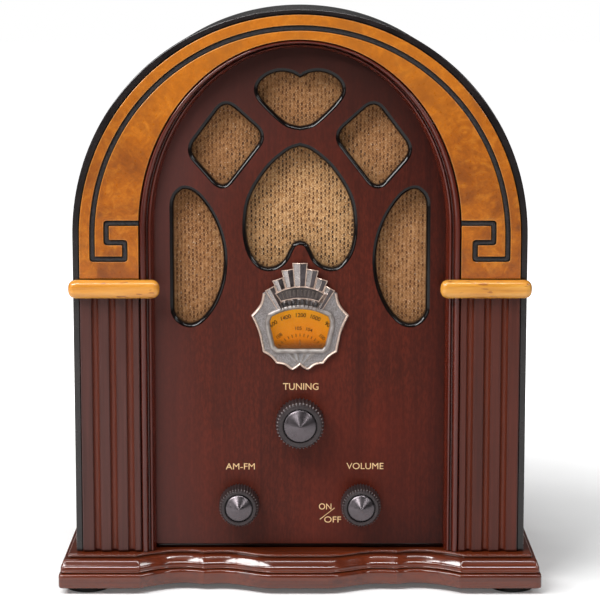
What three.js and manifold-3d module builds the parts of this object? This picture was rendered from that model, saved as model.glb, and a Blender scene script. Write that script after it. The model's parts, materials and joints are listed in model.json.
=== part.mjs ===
// A cathedral style tabletop radio, in millimetres.
// +Z is up, the front faces -Y, and the origin is on the table under the middle of the radio.
import * as THREE from 'three';
import { mergeVertices } from 'three/addons/utils/BufferGeometryUtils.js';
import Module from 'manifold-3d';

const wasm = await Module();
wasm.setup();

// ---------------------------------------------------------------- driving dimensions

const WIDTH = 254; // over the base
const DEPTH = 178; // over the base
const HEIGHT = 305;
const GAP = 0.3; // clearance between neighbouring pieces

const CABINET_WIDTH = 235;
const SHELL_WALL = 7;
const SHELL_HALF_WIDTH = 118.5; // the outside of the shell, a little wider than the round arch in it
const SHELL_FULLNESS = 2.04; // power of the curve over the top of the shell, where 2 is an ellipse
const FOOT_HEIGHT = 3;
const FOOT_RADIUS = 11.5;
const FOOT_X = 112.5;
const FOOT_Y = [-73.4, 74];
const BASE_TOP = 19.8;
const PLINTH_TOP = 9.5;
const MOULDING_STEPS = [[9.8, 13, 1.4], [13, 16.5, 3.2], [16.5, BASE_TOP, 5.6]]; // from z, to z, inset

const FACE_SETBACK = 13; // from the front of the base to the face of the arch
const PANEL_RECESS = 9; // from the face of the arch to the front panel
const PANEL_THICKNESS = 9;
const RIM = 2.4; // the edge of the shell that shows round the arch

const ARCH_INNER = { halfWidth: 83.6, centreZ: 191.5, rise: 97.7 }; // inner edge of the fascia
const BEAD_INNER = { halfWidth: 76.2, centreZ: 191.5, rise: 94 }; // inner edge of the bead moulding
const BEAD_STEPS = [[0.45, 0.8], [0.75, 3.5], [1, 6.5]]; // share of the width, depth below the face

const CAPITAL_Z = [155.9, 165.6];
const CAPITAL_X = [73, 120.6];
const CAPITAL_PROUD = 5.5;
const FLUTE_X = [89, 98, 107];
const FLUTE_RADIUS = 1.85;

const INLAY_RADIUS = 108;
const INLAY_WIDTH = 2.4;
const INLAY_DEPTH = 1.2;
const KEY_X = [91, 100.6]; // the two short uprights of the key
const KEY_Z = [176.1, 184.8, 194.9]; // its three level bars

const DIAL_MODULE = 1;
const PINION_TEETH = 14;
const DIAL_TEETH = 50;
const TUNING_Z = 88.8;
const DIAL_Z = TUNING_Z + DIAL_MODULE * (PINION_TEETH + DIAL_TEETH) / 2;
const DIAL_RADIUS = 29;
const SIDE_KNOB = { x: 32.2, z: 44.8 };
const KNOB_LENGTH = 14;
const TUNING_KNOB_RADIUS = 12.8;
const SIDE_KNOB_RADIUS = 10.6;
const CAP_SHARE = 0.68; // radius of a knob's metal cap, as a share of the knob's
const CAP_RISE = 3.5; // how far the tip of the cap stands in front of the knob
const WINDOW = { halfWidth: 15.2, bottom: 128.3, shoulder: 143.5, top: 148.8 };
const LAMP_Z = 152.2;
const DISC_THICKNESS = 1;
const GEAR_Y = [-56, -53]; // the dial gear, which the wider pinion overhangs on both sides
const PINION_OVERHANG = 0.5;
const DIAL_PLATE_Y = [-49.5, -48];

const SPEAKER = { x: 0, z: 206 };
const SPEAKER_SCREWS = [[22, 253], [33, 166]]; // x and z of each pair
const CLOTH_REACH = 72; // half the width of the grille cloth
const CLOTH_FOOT = 134;
const CLOTH_TOP = { halfWidth: CLOTH_REACH, centreZ: 213, rise: 68 };
const CLOTH_NOTCH = { halfWidth: 35.5, top: 160 }; // leaves room for the dial
const CLOTH_THICKNESS = 1;

const BOARD_TOP = 34.6;
const BOARD_THICKNESS = 1.6;
const ROD = { y: 28, z: 62, radius: 5, halfLength: 60, clipX: 50 };
const BACK_PANEL_Y = [83, 86];
const SLOT_ROWS = 6; // ventilation slots in the back, in two columns
const SLOT_FOOT = 196;
const SLOT_PITCH = 9;
const INLET = { x: -60, z: 46 };
const BACK_SCREWS = [[105, 55], [105, 170]]; // x and z of each pair

// ---------------------------------------------------------------- derived dimensions

const ARCH_RADIUS = CABINET_WIDTH / 2;
const ARCH_Z = HEIGHT - ARCH_RADIUS;
const BASE_FRONT = -DEPTH / 2;
const BASE_REAR = DEPTH / 2;
const FACE_Y = BASE_FRONT + FACE_SETBACK;
const PANEL_Y = FACE_Y + PANEL_RECESS;
const PANEL_BACK = PANEL_Y + PANEL_THICKNESS;
const SHELL_FRONT = FACE_Y + 2;
const SHELL_REAR = BASE_REAR - 2;
const SHELL_INNER = ARCH_RADIUS - SHELL_WALL;
const FASCIA_RADIUS = ARCH_RADIUS - RIM;
const FLOOR_Z = BASE_TOP + GAP;
const TURN = 2 * Math.PI;
const OVERRUN = 5; // how far a cutting tool runs past the piece that it cuts

// ---------------------------------------------------------------- outlines

const point = (x, y) => new THREE.Vector2(x, y);

function arc(centreX, centreY, radiusX, radiusY, start, end, steps) {
  const points = [];
  for (let i = 0; i <= steps; i++) {
    const angle = start + (end - start) * i / steps;
    points.push(point(centreX + radiusX * Math.cos(angle), centreY + radiusY * Math.sin(angle)));
  }
  return points;
}

function circle(x, y, radius, steps = 24) {
  return arc(x, y, radius, radius, 0, TURN, steps).slice(0, steps);
}

function spline(pairs, steps) {
  return new THREE.SplineCurve(pairs.map(([x, y]) => point(x, y))).getPoints(steps);
}

function polygon(pairs) {
  return pairs.map(([x, y]) => point(x, y));
}

function rectangle(x0, y0, x1, y1) {
  return polygon([[x0, y0], [x1, y0], [x1, y1], [x0, y1]]);
}

function mirrored(points) {
  return points.map((p) => point(-p.x, p.y)).reverse();
}

function withMirror(half) {
  return [...half, ...mirrored(half)];
}

// A polygon with each corner replaced by a curve that starts and ends at the given distance.
function rounded(pairs, distance, steps = 3) {
  const corners = polygon(pairs);
  return corners.flatMap((corner, i) => {
    const before = corners[(i + corners.length - 1) % corners.length];
    const after = corners[(i + 1) % corners.length];
    const start = corner.clone().add(before.clone().sub(corner).setLength(distance));
    const end = corner.clone().add(after.clone().sub(corner).setLength(distance));
    return new THREE.QuadraticBezierCurve(start, corner, end).getPoints(steps);
  });
}

// An arch with straight legs, drawn from its right foot over the top to its left foot.
function archLine({ halfWidth, centreZ, rise }, footZ, steps = 30) {
  return [
    point(halfWidth, footZ),
    ...arc(0, centreZ, halfWidth, rise, 0, Math.PI, steps),
    point(-halfWidth, footZ),
  ];
}

function roundArch(radius) {
  return { halfWidth: radius, centreZ: ARCH_Z, rise: radius };
}

function between(outer, inner, footZ) {
  return [...archLine(outer, footZ), ...archLine(inner, footZ).reverse()];
}

// A band of even width along a line, with mitred corners.
function ribbon(line, width) {
  const side = (sign) => line.map((here, i) => {
    const before = line[Math.max(i - 1, 0)];
    const after = line[Math.min(i + 1, line.length - 1)];
    const first = i > 0 ? here.clone().sub(before).normalize() : after.clone().sub(here).normalize();
    const second = i < line.length - 1 ? after.clone().sub(here).normalize() : first;
    const normal = point(-first.y - second.y, first.x + second.x).normalize();
    const mitre = 1 / Math.max(normal.dot(point(-first.y, first.x)), 0.5);
    return here.clone().addScaledVector(normal, sign * mitre * width / 2);
  });
  return [...side(1), ...side(-1).reverse()];
}

// ---------------------------------------------------------------- solids

function shapeOf(points, holes = []) {
  const shape = new THREE.Shape(points);
  shape.holes = holes.map((hole) => new THREE.Path(hole));
  return shape;
}

// Turns a closed geometry into a solid that can be joined and cut.
function solidOf(geometry) {
  const bare = geometry.clone();
  bare.deleteAttribute('normal');
  bare.deleteAttribute('uv');
  const merged = mergeVertices(bare, 1e-4);
  const corners = merged.index.array;
  const kept = [];
  for (let i = 0; i < corners.length; i += 3) {
    const [a, b, c] = corners.slice(i, i + 3);
    if (a !== b && b !== c && c !== a) kept.push(a, b, c);
  }
  const vertProperties = new Float32Array(merged.attributes.position.array);
  const triVerts = new Uint32Array(kept);
  return new wasm.Manifold(new wasm.Mesh({ numProp: 3, vertProperties, triVerts }));
}

function geometryOf(solid) {
  const mesh = solid.getMesh();
  const geometry = new THREE.BufferGeometry();
  geometry.setAttribute('position', new THREE.BufferAttribute(mesh.vertProperties, 3));
  geometry.setIndex(new THREE.BufferAttribute(mesh.triVerts, 1));
  return geometry;
}

// An outline in X and Z, extruded from the front y to the back y.
function board(outline, frontY, backY, holes = [], bevel = 0) {
  const geometry = new THREE.ExtrudeGeometry(shapeOf(outline, holes), {
    depth: backY - frontY - 2 * bevel,
    curveSegments: 1,
    bevelEnabled: bevel > 0,
    bevelThickness: bevel,
    bevelSize: bevel,
    bevelOffset: -bevel,
    bevelSegments: 2,
  });
  geometry.rotateX(Math.PI / 2);
  geometry.translate(0, backY - bevel, 0);
  return solidOf(geometry);
}

// An outline in X and Y, extruded upwards.
function slab(outline, bottomZ, topZ) {
  const options = { depth: topZ - bottomZ, curveSegments: 1, bevelEnabled: false };
  const geometry = new THREE.ExtrudeGeometry(shapeOf(outline), options);
  geometry.translate(0, 0, bottomZ);
  return solidOf(geometry);
}

// A closed profile of [radius, y] pairs, turned about an axis along Y.
function turned(profile, x, z, segments = 20) {
  const geometry = new THREE.LatheGeometry(polygon(profile), segments);
  geometry.translate(x, 0, z);
  return solidOf(geometry);
}

function rod(radius, fromY, toY, x, z, segments = 16) {
  const geometry = new THREE.CylinderGeometry(radius, radius, toY - fromY, segments);
  geometry.translate(x, (fromY + toY) / 2, z);
  return solidOf(geometry);
}

function post(radius, bottomZ, topZ, x, y, segments = 10) {
  const geometry = new THREE.CylinderGeometry(radius, radius, topZ - bottomZ, segments);
  geometry.rotateX(Math.PI / 2);
  geometry.translate(x, y, (bottomZ + topZ) / 2);
  return solidOf(geometry);
}

function barAlongX(radius, fromX, toX, y, z, segments = 14) {
  const geometry = new THREE.CylinderGeometry(radius, radius, toX - fromX, segments);
  geometry.rotateZ(Math.PI / 2);
  geometry.translate((fromX + toX) / 2, y, z);
  return solidOf(geometry);
}

function block(x0, x1, y0, y1, z0, z1) {
  const geometry = new THREE.BoxGeometry(x1 - x0, y1 - y0, z1 - z0);
  geometry.translate((x0 + x1) / 2, (y0 + y1) / 2, (z0 + z1) / 2);
  return solidOf(geometry);
}

const joined = (first, ...rest) => rest.reduce((sum, solid) => sum.add(solid), first);
const cut = (body, ...tools) => tools.reduce((left, tool) => left.subtract(tool), body);

const radio = new THREE.Group();

function add(name, solid, { color, roughness, metalness = 0 }) {
  const material = new THREE.MeshStandardMaterial({ color, roughness, metalness });
  const mesh = new THREE.Mesh(geometryOf(solid), material);
  mesh.name = name;
  radio.add(mesh);
}

const MAHOGANY = { color: 0x5a2a22, roughness: 0.28 };
const BURL = { color: 0xb36a1e, roughness: 0.3 };
const HONEY = { color: 0xe2a347, roughness: 0.3 };
const BLACK_LACQUER = { color: 0x1c1716, roughness: 0.2 };
const CLOTH = { color: 0xb9945f, roughness: 0.95 };
const RUBBER = { color: 0x1a1a1a, roughness: 0.9 };
const BLACK_PLASTIC = { color: 0x2c2726, roughness: 0.4 };
const STEEL = { color: 0x9a9a98, roughness: 0.35, metalness: 1 };
const PEWTER = { color: 0x7d7873, roughness: 0.4, metalness: 1 };
const BRASS = { color: 0xb08d4a, roughness: 0.35, metalness: 1 };
const GLASS = { color: 0xdfe6e4, roughness: 0.05 };
const AMBER = { color: 0xd98b1c, roughness: 0.5 };
const BOARD_GREEN = { color: 0x2f5a3a, roughness: 0.6 };
const FERRITE = { color: 0x33302f, roughness: 0.6 };
const COPPER = { color: 0xa65a32, roughness: 0.4, metalness: 1 };
const PAPER = { color: 0x2b2a29, roughness: 0.9 };
const HARDBOARD = { color: 0x3a2c22, roughness: 0.8 };
const WHITE_PLASTIC = { color: 0xe8e4da, roughness: 0.4 };

// ---------------------------------------------------------------- base

const BULGE_END = 14;
const WAIST = 41;
const CUSP = 51.3;
const HOLLOW = 61;
const BLOCK_START = 83.6;
const WAIST_SETBACK = 9.4;
const CUSP_SETBACK = 8.3;
const HOLLOW_SETBACK = 10.8;

// How far the serpentine front lies behind the corner blocks, at a distance x from the middle.
function frontSetback(x) {
  const across = Math.abs(x);
  if (across <= BULGE_END || across >= BLOCK_START) return 0;
  if (across < WAIST) {
    const share = (WAIST - across) / (WAIST - BULGE_END);
    return WAIST_SETBACK * (0.5 + 0.5 * Math.cos(Math.PI * share));
  }
  if (across < CUSP) {
    return WAIST_SETBACK - (WAIST_SETBACK - CUSP_SETBACK) * ((across - WAIST) / (CUSP - WAIST)) ** 2;
  }
  if (across < HOLLOW) {
    return HOLLOW_SETBACK - (HOLLOW_SETBACK - CUSP_SETBACK) * ((HOLLOW - across) / (HOLLOW - CUSP)) ** 2;
  }
  return HOLLOW_SETBACK * (1 - ((across - HOLLOW) / (BLOCK_START - HOLLOW)) ** 2);
}

function stretch(from, to, steps) {
  return Array.from({ length: steps }, (_, i) => from + (to - from) * i / steps);
}

function baseOutline(inset) {
  const across = [
    ...stretch(BLOCK_START, HOLLOW, 6),
    ...stretch(HOLLOW, CUSP, 3),
    ...stretch(CUSP, WAIST, 3),
    ...stretch(WAIST, BULGE_END, 6),
    BULGE_END,
  ];
  const front = across.map((x) => point(-x, BASE_FRONT + inset + frontSetback(x)));
  const side = WIDTH / 2 - inset;
  const half = [point(-side, BASE_REAR), point(-side, BASE_FRONT + inset), ...front];
  return withMirror(half);
}

function addBase() {
  const plinthBottom = FOOT_HEIGHT + GAP;
  add('base_plinth', slab(baseOutline(0), plinthBottom, PLINTH_TOP), MAHOGANY);
  const steps = MOULDING_STEPS.map(([fromZ, toZ, inset]) => slab(baseOutline(inset), fromZ, toZ));
  add('base_moulding', joined(...steps), MAHOGANY);
  for (const [side, sign] of [['left', -1], ['right', 1]]) {
    for (const [end, y] of [['front', FOOT_Y[0]], ['rear', FOOT_Y[1]]]) {
      add(`foot_${end}_${side}`, post(FOOT_RADIUS, 0, FOOT_HEIGHT, sign * FOOT_X, y, 20), RUBBER);
    }
  }
}

// ---------------------------------------------------------------- cabinet

// The outside of the shell, from its right foot over the top to its left foot.
function shellLine(steps = 30) {
  const quarter = Array.from({ length: steps / 2 + 1 }, (_, i) => {
    const angle = (Math.PI * i) / steps;
    const [across, up] = [Math.cos(angle), Math.sin(angle)].map((v) => Math.abs(v) ** (2 / SHELL_FULLNESS));
    return point(SHELL_HALF_WIDTH * across, ARCH_Z + ARCH_RADIUS * up);
  });
  const half = [point(SHELL_HALF_WIDTH, FLOOR_Z), ...quarter.slice(0, -1)];
  return [...half, point(0, HEIGHT), ...mirrored(half)];
}

function addShell() {
  const outer = board(shellLine(), SHELL_FRONT, SHELL_REAR);
  const footZ = FLOOR_Z - OVERRUN;
  const frontY = SHELL_FRONT - OVERRUN;
  const hollow = board(archLine(roundArch(SHELL_INNER), footZ), frontY, SHELL_REAR + OVERRUN);
  const rebate = board(archLine(roundArch(FASCIA_RADIUS + GAP), footZ), frontY, PANEL_Y);
  add('cabinet_shell', cut(outer, hollow, rebate), BLACK_LACQUER);
}

const heartHalf = [
  [0, 184.8], [3.4, 183.6], [5.6, 180.2], [8.8, 174.3], [14.8, 170.9], [21, 172.3], [26.2, 180],
  [28, 192.5], [25.6, 207.5], [16.8, 222], [6.6, 231.2], [0, 233.8],
];
const fanHalf = [
  [0, 244.6], [6.6, 246.4], [14, 252.6], [20.6, 260], [21.4, 265.4], [17.5, 270], [11, 272.4],
  [4.8, 271.8], [0, 269.4],
];
const diamondCorners = [[18.6, 239.8], [38.8, 257.8], [58.2, 232.2], [40.3, 211.8]];
const ovalCurve = [
  [66, 149.5], [63.5, 143.7], [58.5, 141], [52.8, 142.9], [46.6, 150.2], [41.8, 161.5], [40.1, 174.5],
  [41.8, 187], [46.4, 198.5], [53.4, 208.2], [59.8, 211.6], [64, 209], [66, 203.5],
];

function grilleOutlines() {
  const diamond = rounded(diamondCorners, 6.5);
  const oval = spline(ovalCurve, 20);
  return [
    withMirror(spline(heartHalf, 16)),
    withMirror(spline(fanHalf, 12)),
    diamond,
    mirrored(diamond),
    oval,
    mirrored(oval),
  ];
}

function windowOutline(margin) {
  const { halfWidth, bottom, shoulder, top } = WINDOW;
  const half = halfWidth + margin;
  const peak = top + margin;
  const rise = peak - shoulder;
  const radius = (half * half + rise * rise) / (2 * rise);
  const reach = Math.asin(half / radius);
  const crown = arc(0, peak - radius, radius, radius, Math.PI / 2 - reach, Math.PI / 2 + reach, 10);
  return [point(-half, bottom - margin), point(half, bottom - margin), ...crown];
}

function addFrontPanel() {
  const holes = [...grilleOutlines(), windowOutline(1.8)];
  const panel = board(archLine(roundArch(SHELL_INNER - GAP), FLOOR_Z), PANEL_Y, PANEL_BACK, holes);
  const dialPocket = rod(DIAL_RADIUS + 1.3, PANEL_BACK - 6.3, PANEL_BACK + 1, 0, DIAL_Z, 30);
  const tuningHole = rod(3, PANEL_Y - 1, PANEL_BACK + 1, 0, TUNING_Z, 12);
  const controlHoles = [-1, 1].map((sign) =>
    rod(4.1, PANEL_Y - 1, PANEL_BACK + 1, sign * SIDE_KNOB.x, SIDE_KNOB.z, 12));
  const pilotHoles = speakerScrewPlaces().map(([x, z]) =>
    rod(1.6, PANEL_BACK - 6, PANEL_BACK + 1, x, z, 8));
  add('front_panel', cut(panel, dialPocket, tuningHole, ...controlHoles, ...pilotHoles), MAHOGANY);
}

function speakerScrewPlaces() {
  return SPEAKER_SCREWS.flatMap(([x, z]) => [[-x, z], [x, z]]);
}

// The line of the black inlay: a key at each foot of the arch, joined over the top.
function inlayLine(reach) {
  const key = polygon([
    [reach, KEY_Z[2]], [KEY_X[1], KEY_Z[2]], [KEY_X[1], KEY_Z[1]], [KEY_X[0], KEY_Z[1]],
    [KEY_X[0], KEY_Z[0]], [INLAY_RADIUS, KEY_Z[0]],
  ]);
  return [...key, ...arc(0, ARCH_Z, INLAY_RADIUS, INLAY_RADIUS, 0, Math.PI, 30), ...mirrored(key)];
}

function addFascia() {
  const inner = { ...ARCH_INNER, halfWidth: ARCH_INNER.halfWidth + GAP, rise: ARCH_INNER.rise + GAP };
  const ring = board(
    between(roundArch(FASCIA_RADIUS), inner, CAPITAL_Z[1] + GAP), FACE_Y, PANEL_Y - GAP);
  const grooveLine = ribbon(inlayLine(ARCH_INNER.halfWidth - 1), INLAY_WIDTH + 2 * GAP);
  const groove = board(grooveLine, FACE_Y - 1, FACE_Y + INLAY_DEPTH + GAP);
  add('arch_fascia', cut(ring, groove), BURL);
  const strip = ribbon(inlayLine(ARCH_INNER.halfWidth + GAP), INLAY_WIDTH);
  add('key_inlay', board(strip, FACE_Y + 0.2, FACE_Y + INLAY_DEPTH), BLACK_LACQUER);
}

function addBeadMoulding() {
  const blend = (share) => ({
    halfWidth: THREE.MathUtils.lerp(ARCH_INNER.halfWidth, BEAD_INNER.halfWidth, share),
    centreZ: ARCH_INNER.centreZ,
    rise: THREE.MathUtils.lerp(ARCH_INNER.rise, BEAD_INNER.rise, share),
  });
  const steps = BEAD_STEPS.map(([share, depth]) =>
    board(between(ARCH_INNER, blend(share), FLOOR_Z), FACE_Y + depth, PANEL_Y - GAP));
  add('bead_moulding', joined(...steps), MAHOGANY);
}

function pilasterPlan(sign) {
  const inner = ARCH_INNER.halfWidth + GAP;
  const flutes = FLUTE_X.flatMap((x) => arc(x, FACE_Y, FLUTE_RADIUS, FLUTE_RADIUS, Math.PI, 0, 6));
  const plan = [
    point(inner, PANEL_Y - GAP), point(inner, FACE_Y), ...flutes,
    point(FASCIA_RADIUS, FACE_Y), point(FASCIA_RADIUS, PANEL_Y - GAP),
  ];
  return plan.map((p) => point(sign * p.x, p.y));
}

function addSides() {
  for (const [side, sign] of [['left', -1], ['right', 1]]) {
    const pilaster = slab(pilasterPlan(sign), FLOOR_Z, CAPITAL_Z[0] - GAP);
    add(`pilaster_${side}`, pilaster, MAHOGANY);
    const ends = [sign * CAPITAL_X[0], sign * CAPITAL_X[1]].sort((a, b) => a - b);
    const bar = rounded([
      [ends[0], CAPITAL_Z[0]], [ends[1], CAPITAL_Z[0]], [ends[1], CAPITAL_Z[1]], [ends[0], CAPITAL_Z[1]],
    ], 4);
    const nose = board(bar, FACE_Y - CAPITAL_PROUD, FACE_Y - GAP, [], 2.2);
    const tenonEnds = [ARCH_INNER.halfWidth + 1, FASCIA_RADIUS - 0.5];
    const tenonX = tenonEnds.map((x) => sign * x).sort((a, b) => a - b);
    const tenon = block(...tenonX, FACE_Y - 2.5, PANEL_Y - GAP, CAPITAL_Z[0] + 0.2, CAPITAL_Z[1] - 0.2);
    add(`capital_${side}`, joined(nose, tenon), HONEY);
  }
}

function addGrilleCloth() {
  const { halfWidth, top } = CLOTH_NOTCH;
  const notch = polygon([
    [-halfWidth, CLOTH_FOOT], [-halfWidth, top], [halfWidth, top], [halfWidth, CLOTH_FOOT],
  ]);
  const outline = [...archLine(CLOTH_TOP, CLOTH_FOOT), ...notch];
  const holes = speakerScrewPlaces().map(([x, z]) => circle(x, z, 1.9, 8));
  const front = PANEL_BACK + GAP;
  add('grille_cloth', board(outline, front, front + CLOTH_THICKNESS, holes), CLOTH);
}

// ---------------------------------------------------------------- name plate and dial

const RAYS = [[3.6, 173.3], [9.8, 169.4], [14.8, 164.4], [18.3, 159.2]]; // outer x and top z of each step
const PLATE_EDGE = [[25.9, 145.5], [19.6, 126], [12.6, 119.8], [4.4, 116.5]];

function plateOutline() {
  const skyline = RAYS.flatMap(([x, z], i) => {
    const start = i === 0 ? [] : [[RAYS[i - 1][0] + 0.4, z]];
    return [...start, [x, z], [x + 0.2, z - 1.5]];
  });
  const shoulder = spline([[19.5, 157.2], [20.8, 151.5], PLATE_EDGE[0]], 5);
  const flank = spline([PLATE_EDGE[0], [21.2, 136], PLATE_EDGE[1]], 5).slice(1);
  const scallops = spline([PLATE_EDGE[1], [15.2, 123.6], PLATE_EDGE[2]], 4).slice(1);
  const foot = spline([PLATE_EDGE[2], [8, 119.3], PLATE_EDGE[3]], 4).slice(1);
  const half = [...polygon(skyline), ...shoulder, ...flank, ...scallops, ...foot, point(0, 119)];
  return withMirror(half);
}

function addEscutcheon() {
  const back = PANEL_Y - GAP;
  const plate = board(plateOutline(), back - 1.7, back);
  const frame = board(windowOutline(2.3), back - 4.2, back);
  const bannerCorners = [[13, 160.6], [-13, 160.6], [-9.4, 153.6], [9.4, 153.6]];
  const banner = board(rounded(bannerCorners, 1.2), back - 3, back - 0.5);
  const spine = board(rectangle(-3.6, 161, 3.6, 172.8), back - 2.6, back - 0.5);
  const opening = board(windowOutline(0), back - 10, back + OVERRUN);
  const seat = board(windowOutline(1.3), back - 2.6, back + 1);
  add('escutcheon', cut(joined(plate, frame, banner, spine), opening, seat), PEWTER);
  add('dial_window', board(windowOutline(1), back - 2.3, back - 1.1), GLASS);
}

function addDial() {
  const discFront = PANEL_Y + 3.6;
  const shaftRadius = 2;
  const bore = shaftRadius + GAP;
  const disc = rod(DIAL_RADIUS, discFront, discFront + DISC_THICKNESS, 0, DIAL_Z, 36);
  add('dial_disc', cut(disc, rod(bore, PANEL_Y, PANEL_BACK, 0, DIAL_Z, 12)), AMBER);
  add('dial_shaft', rod(shaftRadius, discFront - 0.5, -40, 0, DIAL_Z, 12), STEEL);
  const firstTooth = -Math.PI / 2 + Math.PI / DIAL_TEETH;
  const wheel = board(gearOutline(DIAL_TEETH, firstTooth), ...GEAR_Y, [circle(0, 0, bore, 12)]);
  add('dial_gear', wheel.translate([0, 0, DIAL_Z]), WHITE_PLASTIC);
}

// Straight sided teeth, thin enough to leave backlash. phase is the angle of one tooth.
function gearOutline(teeth, phase) {
  const pitch = teeth * DIAL_MODULE / 2;
  const root = pitch - 1.25 * DIAL_MODULE;
  const tip = pitch + 0.9 * DIAL_MODULE;
  const corners = [[root, -0.3], [tip, -0.11], [tip, 0.11], [root, 0.3]]; // radius, share of a tooth
  const points = [];
  for (let tooth = 0; tooth < teeth; tooth++) {
    for (const [radius, share] of corners) {
      const angle = phase + TURN * (tooth + share) / teeth;
      points.push(point(radius * Math.cos(angle), radius * Math.sin(angle)));
    }
  }
  return points;
}

function addTuningDrive() {
  const shaftRadius = 2.5;
  const bore = shaftRadius + GAP;
  const [front, rear] = [GEAR_Y[0] - PINION_OVERHANG, GEAR_Y[1] + PINION_OVERHANG];
  const pinion = board(gearOutline(PINION_TEETH, Math.PI / 2), front, rear, [circle(0, 0, bore, 12)]);
  add('tuning_pinion', pinion.translate([0, 0, TUNING_Z]), BRASS);
  add('tuning_shaft', rod(shaftRadius, PANEL_Y - 9.7, -43, 0, TUNING_Z, 12), STEEL);
  const barrel = 4;
  const collar = [DIAL_PLATE_Y[1] + GAP, DIAL_PLATE_Y[1] + 1.8];
  add('tuning_bushing', turned([
    [bore, -52], [barrel, -52], [barrel, collar[0]], [6, collar[0]], [6, collar[1]], [barrel, collar[1]],
    [barrel, -45], [bore, -45], [bore, -52],
  ], 0, TUNING_Z, 12), BRASS);

  const [sheetFront, sheetRear] = DIAL_PLATE_Y;
  const sheet = board(rectangle(-32, 76, 32, 156), sheetFront, sheetRear);
  const legs = [[-29, 80], [29, 80], [-29, 151], [29, 151]].map(([x, z]) =>
    rod(2.5, PANEL_BACK + GAP, sheetFront + 0.5, x, z, 12));
  const places = [[barrel + 0.4, TUNING_Z, 20], [2.6, DIAL_Z, 12], [2.6, LAMP_Z, 12]];
  const holes = places.map(([radius, z, sides]) =>
    rod(radius, sheetFront - OVERRUN, sheetRear + OVERRUN, 0, z, sides));
  add('dial_plate', cut(joined(sheet, ...legs), ...holes), STEEL);

  const half = 13;
  const body = block(-half, half, sheetRear + GAP, sheetRear + 23, DIAL_Z - half, DIAL_Z + half);
  add('tuning_capacitor', cut(body, rod(2.4, sheetRear - 2, -38, 0, DIAL_Z, 12)), WHITE_PLASTIC);
  add('dial_lamp', turned([
    [0, -57.4], [1.4, -57], [2.2, -55.6], [2.2, -46], [0, -46],
  ], 0, LAMP_Z, 12), GLASS);
}

// ---------------------------------------------------------------- knobs and controls

const FLUTES = 24;

function flutedOutline(radius) {
  const points = [];
  for (let i = 0; i < FLUTES * 2; i++) {
    const dip = i % 2 === 1 ? 0.7 : 0;
    const angle = TURN * i / (FLUTES * 2);
    points.push(point((radius - dip) * Math.cos(angle), (radius - dip) * Math.sin(angle)));
  }
  return points;
}

// A hollow fluted knob on a round shaft, with a shallow metal cone let into its front.
function addKnob(name, radius, shaftRadius, x, z) {
  const back = PANEL_Y - 1;
  const front = back - KNOB_LENGTH;
  const wall = 2.2;
  const capRadius = radius * CAP_SHARE;
  const capBack = front + 3.6;
  const skirt = board(flutedOutline(radius), front + 1.6, back).translate([x, 0, z]);
  const ring = rod(radius - 0.3, front, front + 3, x, z, 24);
  const recess = rod(capRadius + GAP, front - 1, capBack + GAP, x, z, 20);
  const hub = rod(shaftRadius + 2, front, back - 2.5, x, z, 12);
  const hollow = cut(rod(radius - wall, front + 6.5, back + 1, x, z), hub);
  const bore = rod(shaftRadius + GAP, front + 5, back + 1, x, z, 12);
  add(`${name}_knob`, cut(joined(skirt, ring), recess, hollow, bore), BLACK_PLASTIC);
  add(`${name}_knob_cap`, turned([
    [0, front - CAP_RISE], [capRadius, front + 0.3], [capRadius, capBack], [0, capBack],
  ], x, z, 20), STEEL);
}

function addControls() {
  addKnob('tuning', TUNING_KNOB_RADIUS, 2.5, 0, TUNING_Z);
  const shaftRadius = 2.3;
  const bushRadius = 3.8;
  const body = PANEL_BACK + 0.4;
  const nose = PANEL_Y - 3.2;
  const nutBack = PANEL_Y - GAP;
  const { x: reach, z } = SIDE_KNOB;
  for (const [name, sign] of [['volume', 1], ['band', -1]]) {
    const x = sign * reach;
    addKnob(name, SIDE_KNOB_RADIUS, shaftRadius, x, z);
    add(`${name}_shaft`, rod(shaftRadius, PANEL_Y - 9.7, body + 5, x, z, 12), STEEL);
    const thread = rod(bushRadius + GAP, nutBack - OVERRUN, nutBack + OVERRUN, x, z, 12);
    add(`${name}_nut`, cut(rod(5.8, nutBack - 2.2, nutBack, x, z, 6), thread), STEEL);
    const threaded = rod(bushRadius, nose, body + 1, x, z, 12);
    const bore = rod(shaftRadius + GAP, nose - 1, body + 6, x, z, 12);
    const housing = name === 'volume'
      ? rod(8.5, body, body + 12, x, z, 18)
      : block(x - 12, x + 12, body, body + 9, z - 8, z + 8);
    add(name === 'volume' ? 'volume_control' : 'band_switch', cut(joined(housing, threaded), bore), STEEL);
  }
}

// ---------------------------------------------------------------- loudspeaker

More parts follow.
